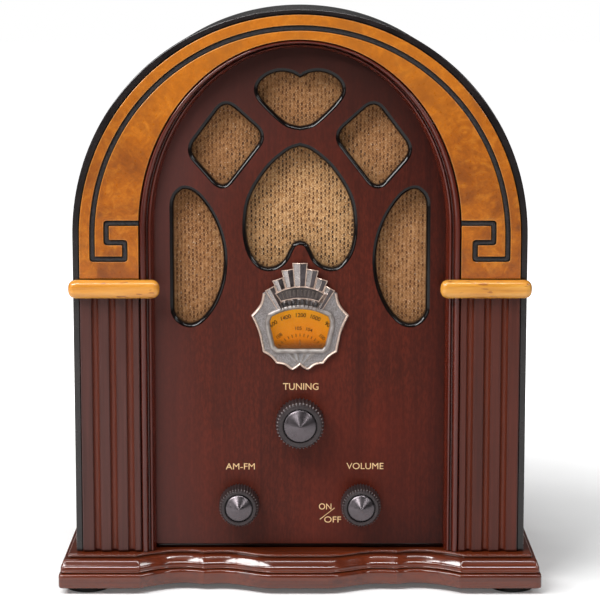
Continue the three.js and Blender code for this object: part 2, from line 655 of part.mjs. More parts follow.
function addSpeaker() {
  const { x, z } = SPEAKER;
  const flange = PANEL_BACK + 1.6;
  const wall = turned([
    [44, flange], [50, flange], [50, flange + 1.5], [46, flange + 1.5], [46, -48.5], [26.6, -26.5],
    [26.6, -25], [13, -25], [13, -26.5], [24, -26.5], [44, -48], [44, flange],
  ], x, z);
  const ears = speakerScrewPlaces().map(([earX, earZ]) => rod(4.2, flange, flange + 1.5, earX, earZ, 10));
  const screwHoles = speakerScrewPlaces().map(([holeX, holeZ]) => rod(1.8, -60, -52, holeX, holeZ, 8));
  const windows = [
    block(x - 12, x + 12, -46, -31, z - 60, z + 60),
    block(x - 60, x + 60, -46, -31, z - 12, z + 12),
  ];
  add('speaker_basket', cut(joined(wall, ...ears), ...windows, ...screwHoles), STEEL);

  add('speaker_magnet', turned([
    [0, -31], [9.5, -31], [9.5, -24.7], [30, -24.7], [30, -10], [0, -10],
  ], x, z), FERRITE);
  add('speaker_cone', turned([
    [0, -43.5], [7, -42.8], [12.5, -40.5], [39, -53.2], [43, -53.6], [43, -52.6], [39, -52.2], [12.5, -39],
    [12.5, -28.9], [11.2, -28.9], [11.2, -40], [0, -42.2],
  ], x, z), PAPER);

  speakerScrewPlaces().forEach(([screwX, screwZ], i) => {
    const head = flange + 1.5 + GAP;
    add(`speaker_screw_${i + 1}`, turned([
      [0, head - 7], [1.3, head - 6], [1.3, head], [3, head], [2.2, head + 1.6], [0, head + 1.6],
    ], screwX, screwZ, 8), STEEL);
  });
}

// ---------------------------------------------------------------- electronics

function addBoard() {
  const seat = BOARD_TOP - 0.5;
  const [halfWidth, halfDepth] = [78, 38];
  const sheet = block(-halfWidth, halfWidth, -halfDepth, halfDepth, BOARD_TOP - BOARD_THICKNESS, BOARD_TOP);
  const corners = [[-1, -1], [1, -1], [-1, 1], [1, 1]];
  const standoffs = corners.map(([across, along]) =>
    post(3, FLOOR_Z, BOARD_TOP - 1, across * (halfWidth - 6), along * (halfDepth - 6), 8));
  const cans = [-48, -32, -16].map((x) => block(x - 5, x + 5, -25, -15, seat, BOARD_TOP + 13));
  const capacitors = [[15, -20, 6, 20], [32, -18, 8, 26], [52, -22, 5, 16]].map(([x, y, radius, height]) =>
    post(radius, seat, BOARD_TOP + height, x, y, 14));
  const chips = [[-40, 2], [-8, 2]].map(([x, y]) => block(x - 9, x + 9, y - 4, y + 4, seat, BOARD_TOP + 3));
  const heatSink = block(20, 56, 0, 5, seat, BOARD_TOP + 24);
  add('main_board', joined(sheet, ...standoffs, ...cans, ...capacitors, ...chips, heatSink), BOARD_GREEN);

  const { y, z, radius, halfLength, clipX } = ROD;
  const bore = radius + GAP;
  add('ferrite_rod', barAlongX(radius, -halfLength, halfLength, y, z), FERRITE);
  add('antenna_coil', cut(barAlongX(7.5, -28, 8, y, z), barAlongX(bore, -40, 20, y, z)), COPPER);
  for (const [side, sign] of [['left', -1], ['right', 1]]) {
    const x = sign * clipX;
    const clip = block(x - 2.5, x + 2.5, y - 8, y + 8, BOARD_TOP + GAP, z + 9);
    add(`rod_clip_${side}`, cut(clip, barAlongX(bore, x - 10, x + 10, y, z)), WHITE_PLASTIC);
  }
  const core = block(18, 74, 48, 68, FLOOR_Z, FLOOR_Z + 44);
  const winding = block(28, 64, 41, 75, FLOOR_Z + 8, FLOOR_Z + 36);
  add('transformer', joined(core, winding), STEEL);
}

// ---------------------------------------------------------------- back

function addBack() {
  const places = BACK_SCREWS.flatMap(([x, z]) => [[-x, z], [x, z]]);
  const through = [BACK_PANEL_Y[0] - 2, BACK_PANEL_Y[1] + 2];
  const slots = [];
  for (let row = 0; row < SLOT_ROWS; row++) {
    const bottom = SLOT_FOOT + row * SLOT_PITCH;
    for (const x of [-34, 34]) {
      slots.push(block(x - 24, x + 24, ...through, bottom, bottom + 3));
    }
  }
  const inletHole = block(INLET.x - 14, INLET.x + 14, ...through, INLET.z - 7.5, INLET.z + 7.5);
  const screwHoles = places.map(([x, z]) => rod(1.9, ...through, x, z, 8));
  const sheet = board(archLine(roundArch(SHELL_INNER - GAP), FLOOR_Z), ...BACK_PANEL_Y);
  add('back_panel', cut(sheet, ...slots, inletHole, ...screwHoles), HARDBOARD);

  for (const [side, sign] of [['left', -1], ['right', 1]]) {
    const edges = [sign * 99.5, sign * (SHELL_INNER - GAP)].sort((a, b) => a - b);
    const strip = block(...edges, 72, BACK_PANEL_Y[0] - GAP, FLOOR_Z, 182);
    const pilots = BACK_SCREWS.map(([x, z]) => rod(1.8, 74, 90, sign * x, z, 8));
    add(`back_cleat_${side}`, cut(strip, ...pilots), MAHOGANY);
  }
  places.forEach(([x, z], i) => {
    const head = BACK_PANEL_Y[1] + GAP;
    add(`back_screw_${i + 1}`, turned([
      [0, head - 11], [1.4, head - 10], [1.4, head], [3.4, head], [2.4, head + 1.7], [0, head + 1.7],
    ], x, z, 8), STEEL);
  });

  const face = BACK_PANEL_Y[1] + GAP;
  const flange = block(INLET.x - 17, INLET.x + 17, face, face + 2, INLET.z - 10.5, INLET.z + 10.5);
  const housing = block(INLET.x - 13.6, INLET.x + 13.6, face - 17, face + 1, INLET.z - 7.1, INLET.z + 7.1);
  const socket = block(INLET.x - 10.5, INLET.x + 10.5, face - 14, face + 5, INLET.z - 5, INLET.z + 5);
  const pins = [-4.3, 4.3].map((x) => rod(1.2, face - 15, face - 2, INLET.x + x, INLET.z, 8));
  add('power_inlet', joined(cut(joined(flange, housing), socket), ...pins), BLACK_PLASTIC);
}

addBase();
addShell();
addFrontPanel();
addFascia();
addBeadMoulding();
addSides();
addGrilleCloth();
addEscutcheon();
addDial();
addTuningDrive();
addControls();
addSpeaker();
addBoard();
addBack();

export default radio;
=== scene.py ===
import json
import math

import bmesh
import bpy
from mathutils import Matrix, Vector


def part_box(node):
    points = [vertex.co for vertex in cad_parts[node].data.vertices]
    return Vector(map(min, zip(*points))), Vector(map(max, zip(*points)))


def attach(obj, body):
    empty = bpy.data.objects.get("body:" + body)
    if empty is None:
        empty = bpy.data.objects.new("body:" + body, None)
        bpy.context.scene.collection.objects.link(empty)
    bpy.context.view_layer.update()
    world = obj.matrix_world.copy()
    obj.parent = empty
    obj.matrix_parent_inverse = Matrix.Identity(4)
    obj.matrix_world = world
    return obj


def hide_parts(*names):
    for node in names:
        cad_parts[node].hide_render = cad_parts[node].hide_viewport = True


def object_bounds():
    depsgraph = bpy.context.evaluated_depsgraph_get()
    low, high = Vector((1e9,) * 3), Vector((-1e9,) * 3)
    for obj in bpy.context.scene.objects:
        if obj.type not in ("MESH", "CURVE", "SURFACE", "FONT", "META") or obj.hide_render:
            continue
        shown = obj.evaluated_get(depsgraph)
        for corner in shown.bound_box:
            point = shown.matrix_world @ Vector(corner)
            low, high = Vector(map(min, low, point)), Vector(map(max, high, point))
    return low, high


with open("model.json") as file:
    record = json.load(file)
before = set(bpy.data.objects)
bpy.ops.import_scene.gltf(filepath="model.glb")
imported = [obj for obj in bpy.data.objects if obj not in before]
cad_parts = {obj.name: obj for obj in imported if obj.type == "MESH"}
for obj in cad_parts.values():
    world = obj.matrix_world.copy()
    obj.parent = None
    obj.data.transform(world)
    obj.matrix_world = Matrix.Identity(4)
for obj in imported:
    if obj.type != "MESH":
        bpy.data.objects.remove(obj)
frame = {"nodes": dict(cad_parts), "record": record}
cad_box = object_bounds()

# A cathedral style tabletop radio. x goes to the right and z up, and the front faces -Y. Shapes are
# worked out in millimetres, and turned into metres where a mesh is made of them.

MM = 0.001
GAP = 0.3

# ------------------------------------------------------------ driving dimensions, as in the frame

low, high = (corner / MM for corner in cad_box)
BASE_FRONT, BASE_REAR = low.y, high.y
BASE_HALF = high.x
BASE_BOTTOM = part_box("base_plinth")[0].z / MM
BASE_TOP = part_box("base_moulding")[1].z / MM
FLOOR_Z = BASE_TOP + GAP
SHELL_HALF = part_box("cabinet_shell")[1].x / MM
SHELL_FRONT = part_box("cabinet_shell")[0].y / MM
SHELL_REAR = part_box("cabinet_shell")[1].y / MM
FASCIA_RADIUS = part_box("arch_fascia")[1].x / MM
ARCH_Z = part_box("arch_fascia")[1].z / MM - FASCIA_RADIUS
ARCH_RADIUS = high.z - ARCH_Z
SHELL_INNER = ARCH_RADIUS - 7
SHELL_FULLNESS = 2.04
FACE_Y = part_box("arch_fascia")[0].y / MM
PANEL_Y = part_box("front_panel")[0].y / MM
PANEL_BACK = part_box("front_panel")[1].y / MM
SEAT_Y = PANEL_Y - GAP
CLOTH_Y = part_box("grille_cloth")[0].y / MM
DISC_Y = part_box("dial_disc")[0].y / MM
DIAL_Z = (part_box("dial_disc")[0].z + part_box("dial_disc")[1].z) / 2 / MM
DIAL_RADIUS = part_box("dial_disc")[1].x / MM
BACK_PANEL_Y = [corner.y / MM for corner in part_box("back_panel")]

ARCH_INNER = (83.6, 191.5, 97.7)  # half width, centre height and rise of the fascia's inner edge
BEAD_INNER = (76.2, 191.5, 94)  # the same for the inner edge of the bead moulding
CAPITAL_X = (73, 120.6)
CAPITAL_Z = (155.9, 165.6)
CAPITAL_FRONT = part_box("capital_left")[0].y / MM
FLUTE_X = (89, 98, 107)
FLUTE_RADIUS = 1.85
INLAY_RADIUS = 108
INLAY_HALF = 1.35
KEY_X = (91, 100.6)
KEY_Z = (176.1, 184.8, 194.9)
KNOB_BACK = PANEL_Y - 1
KNOB_LENGTH = 14
CAP_SHARE = 0.67
KNOBS = ("tuning", "volume", "band")


# ------------------------------------------------------------ camera, light and floor

CAMERA_PLACE, LOOKS_DOWN = (0, -1.238, 0.3249), 8.33
SENSOR_WIDTH, LENS = 36, 135.24
SOFTBOX_DISTANCE, SOFTBOX_AIM = 1.4, 0.15
# name, azimuth and elevation in degrees, size in metres and brightness
SOFTBOXES = [("softbox_left", -34, 40, (0.7, 0.27), 18), ("softbox_far_left", -70, 36, (0.7, 0.27), 17),
             ("softbox_low_left", -56, 10, (0.4, 0.5), 2), ("softbox_right", 36, 26, (0.16, 0.36), 9),
             ("softbox_far_right", 78, 32, (0.35, 0.3), 10), ("softbox_above", 0, 60, (1.2, 0.09), 24),
             ("softbox_behind", 190, 40, (0.9, 0.5), 2.5)]
ROOM_LIGHT, BACKDROP_LIGHT = 0.05, 1.0
FLOOR_REACH = 9000


def link_object(name, data):
    thing = bpy.data.objects.new(name, data)
    bpy.context.scene.collection.objects.link(thing)
    return thing


def add_camera():
    camera = link_object("camera", bpy.data.cameras.new("camera"))
    camera.location = CAMERA_PLACE
    camera.rotation_euler = (math.radians(90 - LOOKS_DOWN), 0, 0)
    camera.data.sensor_width = SENSOR_WIDTH
    camera.data.lens = LENS
    bpy.context.scene.camera = camera


def add_softbox(name, azimuth, elevation, size, brightness):
    """A soft light that faces the radio. Its azimuth is measured from the front towards the right."""
    around, up = math.radians(azimuth), math.radians(elevation)
    way = Vector((math.sin(around) * math.cos(up), -math.cos(around) * math.cos(up), math.sin(up)))
    lamp = bpy.data.lights.new(name, "AREA")
    lamp.shape = "RECTANGLE"
    lamp.size, lamp.size_y = size
    lamp.energy = brightness * size[0] * size[1] * math.pi
    box = link_object(name, lamp)
    box.location = way * SOFTBOX_DISTANCE + Vector((0, 0, SOFTBOX_AIM))
    box.rotation_euler = (-way).to_track_quat("-Z", "Y").to_euler()


def add_studio():
    """Soft lights in a dim room, with a white backdrop that only the camera sees."""
    scene = bpy.context.scene
    scene.view_settings.view_transform = "Standard"
    scene.world = bpy.data.worlds.new("studio")
    scene.world.use_nodes = True
    tree = scene.world.node_tree
    tree.nodes.clear()
    blend = add_node(tree, "MixShader")
    tree.links.new(add_node(tree, "LightPath").outputs["Is Camera Ray"], blend.inputs["Fac"])
    for place, strength in ((1, ROOM_LIGHT), (2, BACKDROP_LIGHT)):
        light = add_node(tree, "Background")
        plug(light.inputs["Color"], (255, 255, 255))
        plug(light.inputs["Strength"], strength)
        tree.links.new(light.outputs["Background"], blend.inputs[place])
    tree.links.new(blend.outputs["Shader"], add_node(tree, "OutputWorld").inputs["Surface"])
    for softbox in SOFTBOXES:
        add_softbox(*softbox)


def add_floor():
    """A sheet of white paper with a painted glow, seen by the camera only, that brightens away from the
    radio.
    """
    corners = [(x * FLOOR_REACH, y * FLOOR_REACH, 0) for x, y in ((-1, -1), (1, -1), (1, 1), (-1, 1))]
    floor = mesh_piece("floor", corners, [(0, 1, 2, 3)])
    paint = Paint("floor_paper", 0.8, 0, 0.1)
    paint.colour(paint.noise(30, 3).between((240, 240, 240), (246, 246, 246)))
    far = add_node(paint.tree, "VectorMath", operation="LENGTH")
    plug(far.inputs[0], paint.place())
    seen = Signal(add_node(paint.tree, "LightPath").outputs["Is Camera Ray"])
    # painted light: the floor glows more the farther it lies from the radio
    glow = Signal(far.outputs["Value"]).ramp((0.14, 0.1), (0.5, 1.0))
    plug(paint.inputs["Emission Color"], (255, 255, 255))
    plug(paint.inputs["Emission Strength"], glow * seen)
    floor.data.materials.append(paint.material)


# ------------------------------------------------------------ outlines

def arc(centre_x, centre_z, radius_x, radius_z, start, end, steps):
    angles = [start + (end - start) * i / steps for i in range(steps + 1)]
    return [(centre_x + radius_x * math.cos(a), centre_z + radius_z * math.sin(a)) for a in angles]


def spline(points, steps):
    """A smooth line through the points, with its ends at the first and the last of them."""
    line = []
    last = len(points) - 1
    for i in range(steps + 1):
        place = i / steps * last
        k = min(int(place), last - 1)
        t = place - k
        p0, p1, p2, p3 = (points[min(max(j, 0), last)] for j in (k - 1, k, k + 1, k + 2))
        line.append(tuple(
            b + (c - a) * t / 2 + (a - 2.5 * b + 2 * c - d / 2) * t ** 2
            + (1.5 * (b - c) + (d - a) / 2) * t ** 3
            for a, b, c, d in zip(p0, p1, p2, p3)))
    return line


def mirrored(line):
    return [(-x, z) for x, z in reversed(line)]


def with_mirror(half):
    """The half outline and its mirror image, as a closed outline without doubled points."""
    whole = half + mirrored(half)
    return [p for i, p in enumerate(whole) if math.dist(p, whole[i - 1]) > 1e-4]


def towards(start, end, distance):
    share = distance / math.dist(start, end)
    return tuple(a + (b - a) * share for a, b in zip(start, end))


def fillet(before, corner, after, distance, steps=5):
    """The corner as a curve that starts and ends at the given distance from it."""
    first, last = towards(corner, before, distance), towards(corner, after, distance)
    curve = []
    for i in range(steps + 1):
        t = i / steps
        curve.append(tuple((1 - t) ** 2 * a + 2 * t * (1 - t) * b + t * t * c
                           for a, b, c in zip(first, corner, last)))
    return curve


def rounded(points, distance, steps=5):
    line = []
    for i, corner in enumerate(points):
        line += fillet(points[i - 1], corner, points[(i + 1) % len(points)], distance, steps)
    return line


def rounded_box(x, z, half_width, half_height, distance, steps=5):
    """A rectangle about x and z with rounded corners."""
    corners = [(x - half_width, z - half_height), (x + half_width, z - half_height),
               (x + half_width, z + half_height), (x - half_width, z + half_height)]
    return rounded(corners, distance, steps)


def turn_at(line, i):
    before = (line[i][0] - line[i - 1][0], line[i][1] - line[i - 1][1])
    after = (line[i + 1][0] - line[i][0], line[i + 1][1] - line[i][1])
    cross = before[0] * after[1] - before[1] * after[0]
    return math.atan2(cross, before[0] * after[0] + before[1] * after[1])


def eased(line, distances, sharpest=0.5):
    """An open line with its sharp corners rounded, left and right turns by their own distances."""
    result = [line[0]]
    for i in range(1, len(line) - 1):
        turn = turn_at(line, i)
        if abs(turn) < sharpest:
            result.append(line[i])
        else:
            result += fillet(line[i - 1], line[i], line[i + 1], distances[turn < 0])
    return result + [line[-1]]


def normals(line, closed=False):
    """The mitred normal at each point, a quarter turn to the left of the line's direction."""
    found = []
    count = len(line)
    for i in range(count):
        before = line[i - 1] if closed or i > 0 else None
        after = line[(i + 1) % count] if closed or i < count - 1 else None
        first = Vector((line[i][0] - before[0], line[i][1] - before[1])).normalized() if before else None
        second = Vector((after[0] - line[i][0], after[1] - line[i][1])).normalized() if after else None
        first, second = first or second, second or first
        side = Vector((-first.y - second.y, first.x + second.x)).normalized()
        found.append(side / max(side.dot(Vector((-first.y, first.x))), 0.5))
    return found


def offset(line, distance, closed=False):
    return [(x + n.x * distance, z + n.y * distance) for (x, z), n in zip(line, normals(line, closed))]


def arch_line(half_width, centre_z, rise, foot_z, steps=72):
    over = arc(0, centre_z, half_width, rise, 0, math.pi, steps)
    return [(half_width, foot_z), *over, (-half_width, foot_z)]


def blend_arches(share):
    return tuple(a + (b - a) * share for a, b in zip(ARCH_INNER, BEAD_INNER))


# ------------------------------------------------------------ meshes

def mesh_piece(name, points, faces):
    mesh = bpy.data.meshes.new(name)
    mesh.from_pydata([Vector(p) * MM for p in points], [], faces)
    return link_object(name, mesh)


def polish(piece, angle=32):
    """Merges doubled points, turns the faces outwards and smooths all but the sharp edges."""
    shape = bmesh.new()
    shape.from_mesh(piece.data)
    bmesh.ops.remove_doubles(shape, verts=shape.verts, dist=1e-6)
    bmesh.ops.dissolve_degenerate(shape, dist=1e-7, edges=shape.edges)
    bmesh.ops.recalc_face_normals(shape, faces=shape.faces)
    shape.to_mesh(piece.data)
    shape.free()
    piece.data.shade_smooth()
    piece.data.set_sharp_from_angle(angle=math.radians(angle))
    weighted = piece.modifiers.new("weighted_normals", "WEIGHTED_NORMAL")
    weighted.keep_sharp = True
    return piece


def loft(name, rings, closed=True, caps=True, angle=32):
    """Joins rings of the same number of points. A closed ring's last point joins its first."""
    count = len(rings[0])
    reach = count if closed else count - 1
    points = [p for ring in rings for p in ring]
    faces = []
    for row in range(len(rings) - 1):
        start = row * count
        for i in range(reach):
            j = (i + 1) % count
            faces.append((start + i, start + j, start + count + j, start + count + i))
    if caps:
        faces.append(tuple(range(count)))
        faces.append(tuple(range(len(points) - count, len(points))))
    return polish(mesh_piece(name, points, faces), angle)


def lathe(name, profile, x=0, z=0, segments=64, angle=32):
    """A closed profile of (radius, y) pairs, turned about a line along Y."""
    angles = [2 * math.pi * i / segments for i in range(segments)]
    rings = [[(x + r * math.cos(a), y, z + r * math.sin(a)) for r, y in profile] for a in angles]
    rings.append(rings[0])
    return loft(name, rings, caps=False, angle=angle)


def curve_mesh(name, curve):
    """The mesh that a curve gives, in place of the curve."""
    shell = link_object(name + "_curve", curve)
    bpy.context.view_layer.update()
    mesh = bpy.data.meshes.new_from_object(shell.evaluated_get(bpy.context.evaluated_depsgraph_get()))
    bpy.data.objects.remove(shell)
    mesh.materials.clear()
    mesh.name = name
    return mesh


def board(name, outline, front, back, holes=(), edge=0.0, steps=3, angle=32):
    """An outline in x and z, solid from front to back, with rounded edges inside the outline."""
    curve = bpy.data.curves.new(name, "CURVE")
    curve.dimensions = "2D"
    curve.fill_mode = "BOTH"
    for line in [outline, *holes]:
        path = curve.splines.new("POLY")
        path.points.add(len(line) - 1)
        for corner, (x, z) in zip(path.points, line):
            corner.co = (x * MM, z * MM, 0, 1)
        path.use_cyclic_u = True
    curve.extrude = ((back - front) / 2 - edge) * MM
    curve.bevel_depth = edge * MM
    curve.bevel_resolution = steps
    curve.offset = -edge * MM
    mesh = curve_mesh(name, curve)
    middle = (front + back) / 2 * MM
    for vertex in mesh.vertices:
        x, z, depth = vertex.co
        vertex.co = (x, middle - depth, z)
    return polish(link_object(name, mesh), angle)


def moulding(name, line, section, closed=False, angle=32):
    """A section of (distance to the left of the line, y) pairs, run along a line in x and z."""
    sides = normals(line, closed)
    rings = [[(x + n.x * across, y, z + n.y * across) for across, y in section]
             for (x, z), n in zip(line, sides)]
    if closed:
        rings.append(rings[0])
    return loft(name, rings, caps=not closed, angle=angle)


def half_round(width, back, front, steps=6):
    """The section of a bead that is as wide as given and stands from back to front."""
    return [(width / 2 * math.cos(a), back + (front - back) * math.sin(a))
            for a in (math.pi * i / steps for i in range(steps + 1))]


def flat_strip(half_width, back, front):
    return [(-half_width, back), (-half_width, front), (half_width, front), (half_width, back)]


def joined(name, pieces):
    """Joins pieces with one finish into one piece."""
    shape = bmesh.new()
    for piece in pieces:
        shape.from_mesh(piece.data)
        bpy.data.objects.remove(piece)
    mesh = bpy.data.meshes.new(name)
    shape.to_mesh(mesh)
    shape.free()
    whole = link_object(name, mesh)
    whole.modifiers.new("weighted_normals", "WEIGHTED_NORMAL").keep_sharp = True
    return whole


INK_HEIGHT = 0.05


def thickened(mesh):
    """The flat letters of a mesh as solid ones."""
    shape = bmesh.new()
    shape.from_mesh(mesh)
    bmesh.ops.remove_doubles(shape, verts=shape.verts, dist=1e-5)
    sides = bmesh.ops.extrude_face_region(shape, geom=list(shape.faces))
    raised = [part for part in sides["geom"] if isinstance(part, bmesh.types.BMVert)]
    for vertex in shape.verts:
        vertex.co.z = 0
    for vertex in raised:
        vertex.co.z = INK_HEIGHT
    return shape


def lettering(name, text, x, y, z, height, width=None, turn=0.0, weight=0.0):
    """Raised lettering that faces the front, centred on x and z."""
    curve = bpy.data.curves.new(name, "FONT")
    curve.body = text
    curve.size = 1
    curve.extrude = 0
    curve.offset = weight
    mesh = curve_mesh(name, curve)
    xs = [v.co.x for v in mesh.vertices]
    ys = [v.co.y for v in mesh.vertices]
    tall = height / (max(ys) - min(ys))
    wide = width / (max(xs) - min(xs)) if width else tall
    across, up = (min(xs) + max(xs)) / 2, (min(ys) + max(ys)) / 2
    shape = thickened(mesh)
    for vertex in shape.verts:
        flat_x, flat_z = (vertex.co.x - across) * wide, (vertex.co.y - up) * tall
        turned_x = flat_x * math.cos(turn) - flat_z * math.sin(turn)
        turned_z = flat_x * math.sin(turn) + flat_z * math.cos(turn)
        vertex.co = Vector((x + turned_x, y - vertex.co.z, z + turned_z)) * MM
    bmesh.ops.recalc_face_normals(shape, faces=shape.faces)
    shape.to_mesh(mesh)
    shape.free()
    return link_object(name, mesh)


# ------------------------------------------------------------ node trees

def linear(colour):
    """A colour of three sRGB values from 0 to 255, as a linear one."""
    shares = [c / 255 for c in colour]
    return tuple(s / 12.92 if s <= 0.04045 else ((s + 0.055) / 1.055) ** 2.4 for s in shares) + (1,)


def add_node(tree, kind, **settings):
    node = tree.nodes.new("ShaderNode" + kind)
    for key, value in settings.items():
        setattr(node, key, value)
    return node


def plug(socket, value):
    """Links a signal to a socket, or sets the socket to a number or to an sRGB colour."""
    if isinstance(value, Signal):
        socket.id_data.links.new(value.socket, socket)
    else:
        socket.default_value = linear(value) if isinstance(value, tuple) else value


class Signal:
    """An output of a node tree. Arithmetic with it adds the nodes that work out the result."""

    def __init__(self, socket):
        self.socket = socket
        self.tree = socket.id_data

    def maths(self, operation, other=0.0):
        node = add_node(self.tree, "Math", operation=operation)
        plug(node.inputs[0], self)
        plug(node.inputs[1], other)
        return Signal(node.outputs["Value"])

    def __add__(self, other):
        return self.maths("ADD", other)

    def __sub__(self, other):
        return self.maths("SUBTRACT", other)

    def __mul__(self, other):
        return self.maths("MULTIPLY", other)

    def __truediv__(self, other):
        return self.maths("DIVIDE", other)

    def __pow__(self, other):
        return self.maths("POWER", other)

    def __abs__(self):
        return self.maths("ABSOLUTE")

    def from_middle(self):
        """How far the signal is from the middle between two whole numbers."""
        return abs(self.maths("FRACT") - 0.5)

    def ramp(self, *stops):
        """Colours, as sRGB values, or plain numbers, at places from 0 to 1."""
        node = add_node(self.tree, "ValToRGB")
        marks = node.color_ramp.elements
        while len(marks) < len(stops):
            marks.new(0.5)
        for mark, (place, colour) in zip(marks, stops):
            mark.position = place
            mark.color = linear(colour) if isinstance(colour, tuple) else (colour, colour, colour, 1)
        plug(node.inputs["Fac"], self)
        return Signal(node.outputs["Color"])

    def between(self, low, high):
        """One colour or number up to 0.3, another from 0.7, and their blends in between."""
        return self.ramp((0.3, low), (0.7, high))

    def mix(self, share, other, blend="MIX"):
        """This colour with a share, a signal or a number, of another signal or sRGB colour."""
        node = add_node(self.tree, "Mix", data_type="RGBA", blend_type=blend)
        for key, value in (("Factor", share), ("A", self), ("B", other)):
            plug(node.inputs[key], value)
        return Signal(node.outputs["Result"])


paints = {}


class Paint:
    """A material in the making, kept in paints. Its places are those on the radio, in metres."""

    def __init__(self, name, roughness=0.4, metallic=0.0, specular=0.5, coat=0.0, coat_roughness=0.1):
        self.material = bpy.data.materials.new(name)
        self.material.use_nodes = True
        paints[name] = self.material
        self.tree = self.material.node_tree
        self.inputs = self.tree.nodes["Principled BSDF"].inputs
        plug(self.inputs["Roughness"], roughness)
        plug(self.inputs["Metallic"], metallic)
        plug(self.inputs["Specular IOR Level"], specular)
        plug(self.inputs["Coat Weight"], coat)
        plug(self.inputs["Coat Roughness"], coat_roughness)

    def place(self, stretch=(1, 1, 1)):
        mapping = add_node(self.tree, "Mapping")
        mapping.inputs["Scale"].default_value = stretch
        self.tree.links.new(add_node(self.tree, "TexCoord").outputs["Object"], mapping.inputs["Vector"])
        return Signal(mapping.outputs["Vector"])

    def axis(self, name):
        node = add_node(self.tree, "SeparateXYZ")
        plug(node.inputs["Vector"], self.place())
        return Signal(node.outputs[name])

    def vector(self, **parts):
        node = add_node(self.tree, "CombineXYZ")
        for name, value in parts.items():
            plug(node.inputs[name], value)
        return Signal(node.outputs["Vector"])

    def texture(self, kind, output, at, settings=None, **values):
        node = add_node(self.tree, "Tex" + kind, **(settings or {}))
        for name, value in values.items():
            plug(node.inputs[name], value)
        plug(node.inputs["Vector"], at)
        return Signal(node.outputs[output])

    def noise(self, scale, detail=2.0, roughness=0.5, distortion=0.0, stretch=(1, 1, 1), at=None):
        return self.texture("Noise", "Fac", at or self.place(stretch), Scale=scale, Detail=detail,
                            Roughness=roughness, Distortion=distortion)

    def cells(self, scale, stretch=(1, 1, 1)):
        return self.texture("Voronoi", "Distance", self.place(stretch), Scale=scale)

    def from_axis(self, x, z):
        """The distance from a level axis that runs from front to back at x and z."""
        across = self.axis("X") - x * MM
        up = self.axis("Z") - z * MM
        return (across * across + up * up).maths("SQRT")

    def left_reflection_share(self, reach=0.12):
        """White at the left edge of the radio, falling to black at its right edge."""
        return self.axis("X") * (-0.5 / reach) + 0.5

    def edges(self, width):
        """Near white within the given width, in millimetres, of a sharp edge, and black elsewhere."""
        bevel = add_node(self.tree, "Bevel", samples=4)
        bevel.inputs["Radius"].default_value = width * MM
        product = add_node(self.tree, "VectorMath", operation="DOT_PRODUCT")
        self.tree.links.new(bevel.outputs["Normal"], product.inputs[0])
        self.tree.links.new(add_node(self.tree, "NewGeometry").outputs["Normal"], product.inputs[1])
        return Signal(product.outputs["Value"]).ramp((0.89, 1.0), (0.99, 0.0))

    def hollows(self, reach, deepest=0.35, shallowest=0.8):
        """Near white in corners and grooves that are as narrow as the reach, in millimetres."""
        shade = add_node(self.tree, "AmbientOcclusion", samples=6, only_local=True)
        shade.inputs["Distance"].default_value = reach * MM
        return Signal(shade.outputs["AO"]).ramp((deepest, 1.0), (shallowest, 0.0))

    def grain(self, along, dark, light, low=0.3, high=0.7):
        """Fine straight wood grain with pores along one axis. Gives its colour and its streaks."""
        layers = []
        for across, length, detail, roughness, distortion in GRAIN_LAYERS:
            stretch = [across] * 3
            stretch[along] = length
            layers.append(self.noise(1, detail, roughness, distortion, stretch))
        streaks, middling, bands = layers
        both = streaks * 0.42 + middling * 0.33 + bands * 0.25
        return both.ramp((low, dark), (high, light)), streaks

    def colour(self, signal):
        plug(self.inputs["Base Color"], signal)

    def roughness(self, signal, low, high):
        plug(self.inputs["Roughness"], signal.between(low, high))

    def bump(self, height, strength, distance):
        node = add_node(self.tree, "Bump")
        plug(node.inputs["Strength"], strength)
        plug(node.inputs["Distance"], distance * MM)
        plug(node.inputs["Height"], height)
        self.tree.links.new(node.outputs["Normal"], self.inputs["Normal"])


# ------------------------------------------------------------ wood and lacquer

# scale across and along the grain, detail, roughness and distortion of streaks, middling and bands
GRAIN_LAYERS = ((620, 14, 4, 0.62, 0), (210, 7, 3, 0.55, 0.4), (50, 3, 3, 0.55, 0.6))


def mahogany(name, dark, light, along=2, roughness=0.3, specular=0.3, coat=0.25, edge_wear_highlight=None):
    """Stained wood, with painted shade darkening its hollows, and a lighter brown on its edges that is
    partly wear and partly painted highlight.
    """
    paint = Paint(name, roughness, 0, specular, coat, 0.08)
    plug(paint.inputs["Coat IOR"], 1.7)
    colour, streaks = paint.grain(along, dark, light)
    # lighter edges: partly wear, partly a painted highlight
    if edge_wear_highlight:
        colour = colour.mix(paint.edges(0.5) * 0.5, edge_wear_highlight)
    # painted shade: dark brown where shade falls in the hollows
    paint.colour(colour.mix(paint.hollows(2.5) * 0.7, (40, 16, 10)))
    paint.roughness(streaks, roughness, roughness + 0.08)
    paint.bump(streaks, 0.12, 0.05)


PANEL_HALF, PANEL_MIDDLE, PANEL_RISE = 0.084, 0.085, 0.19


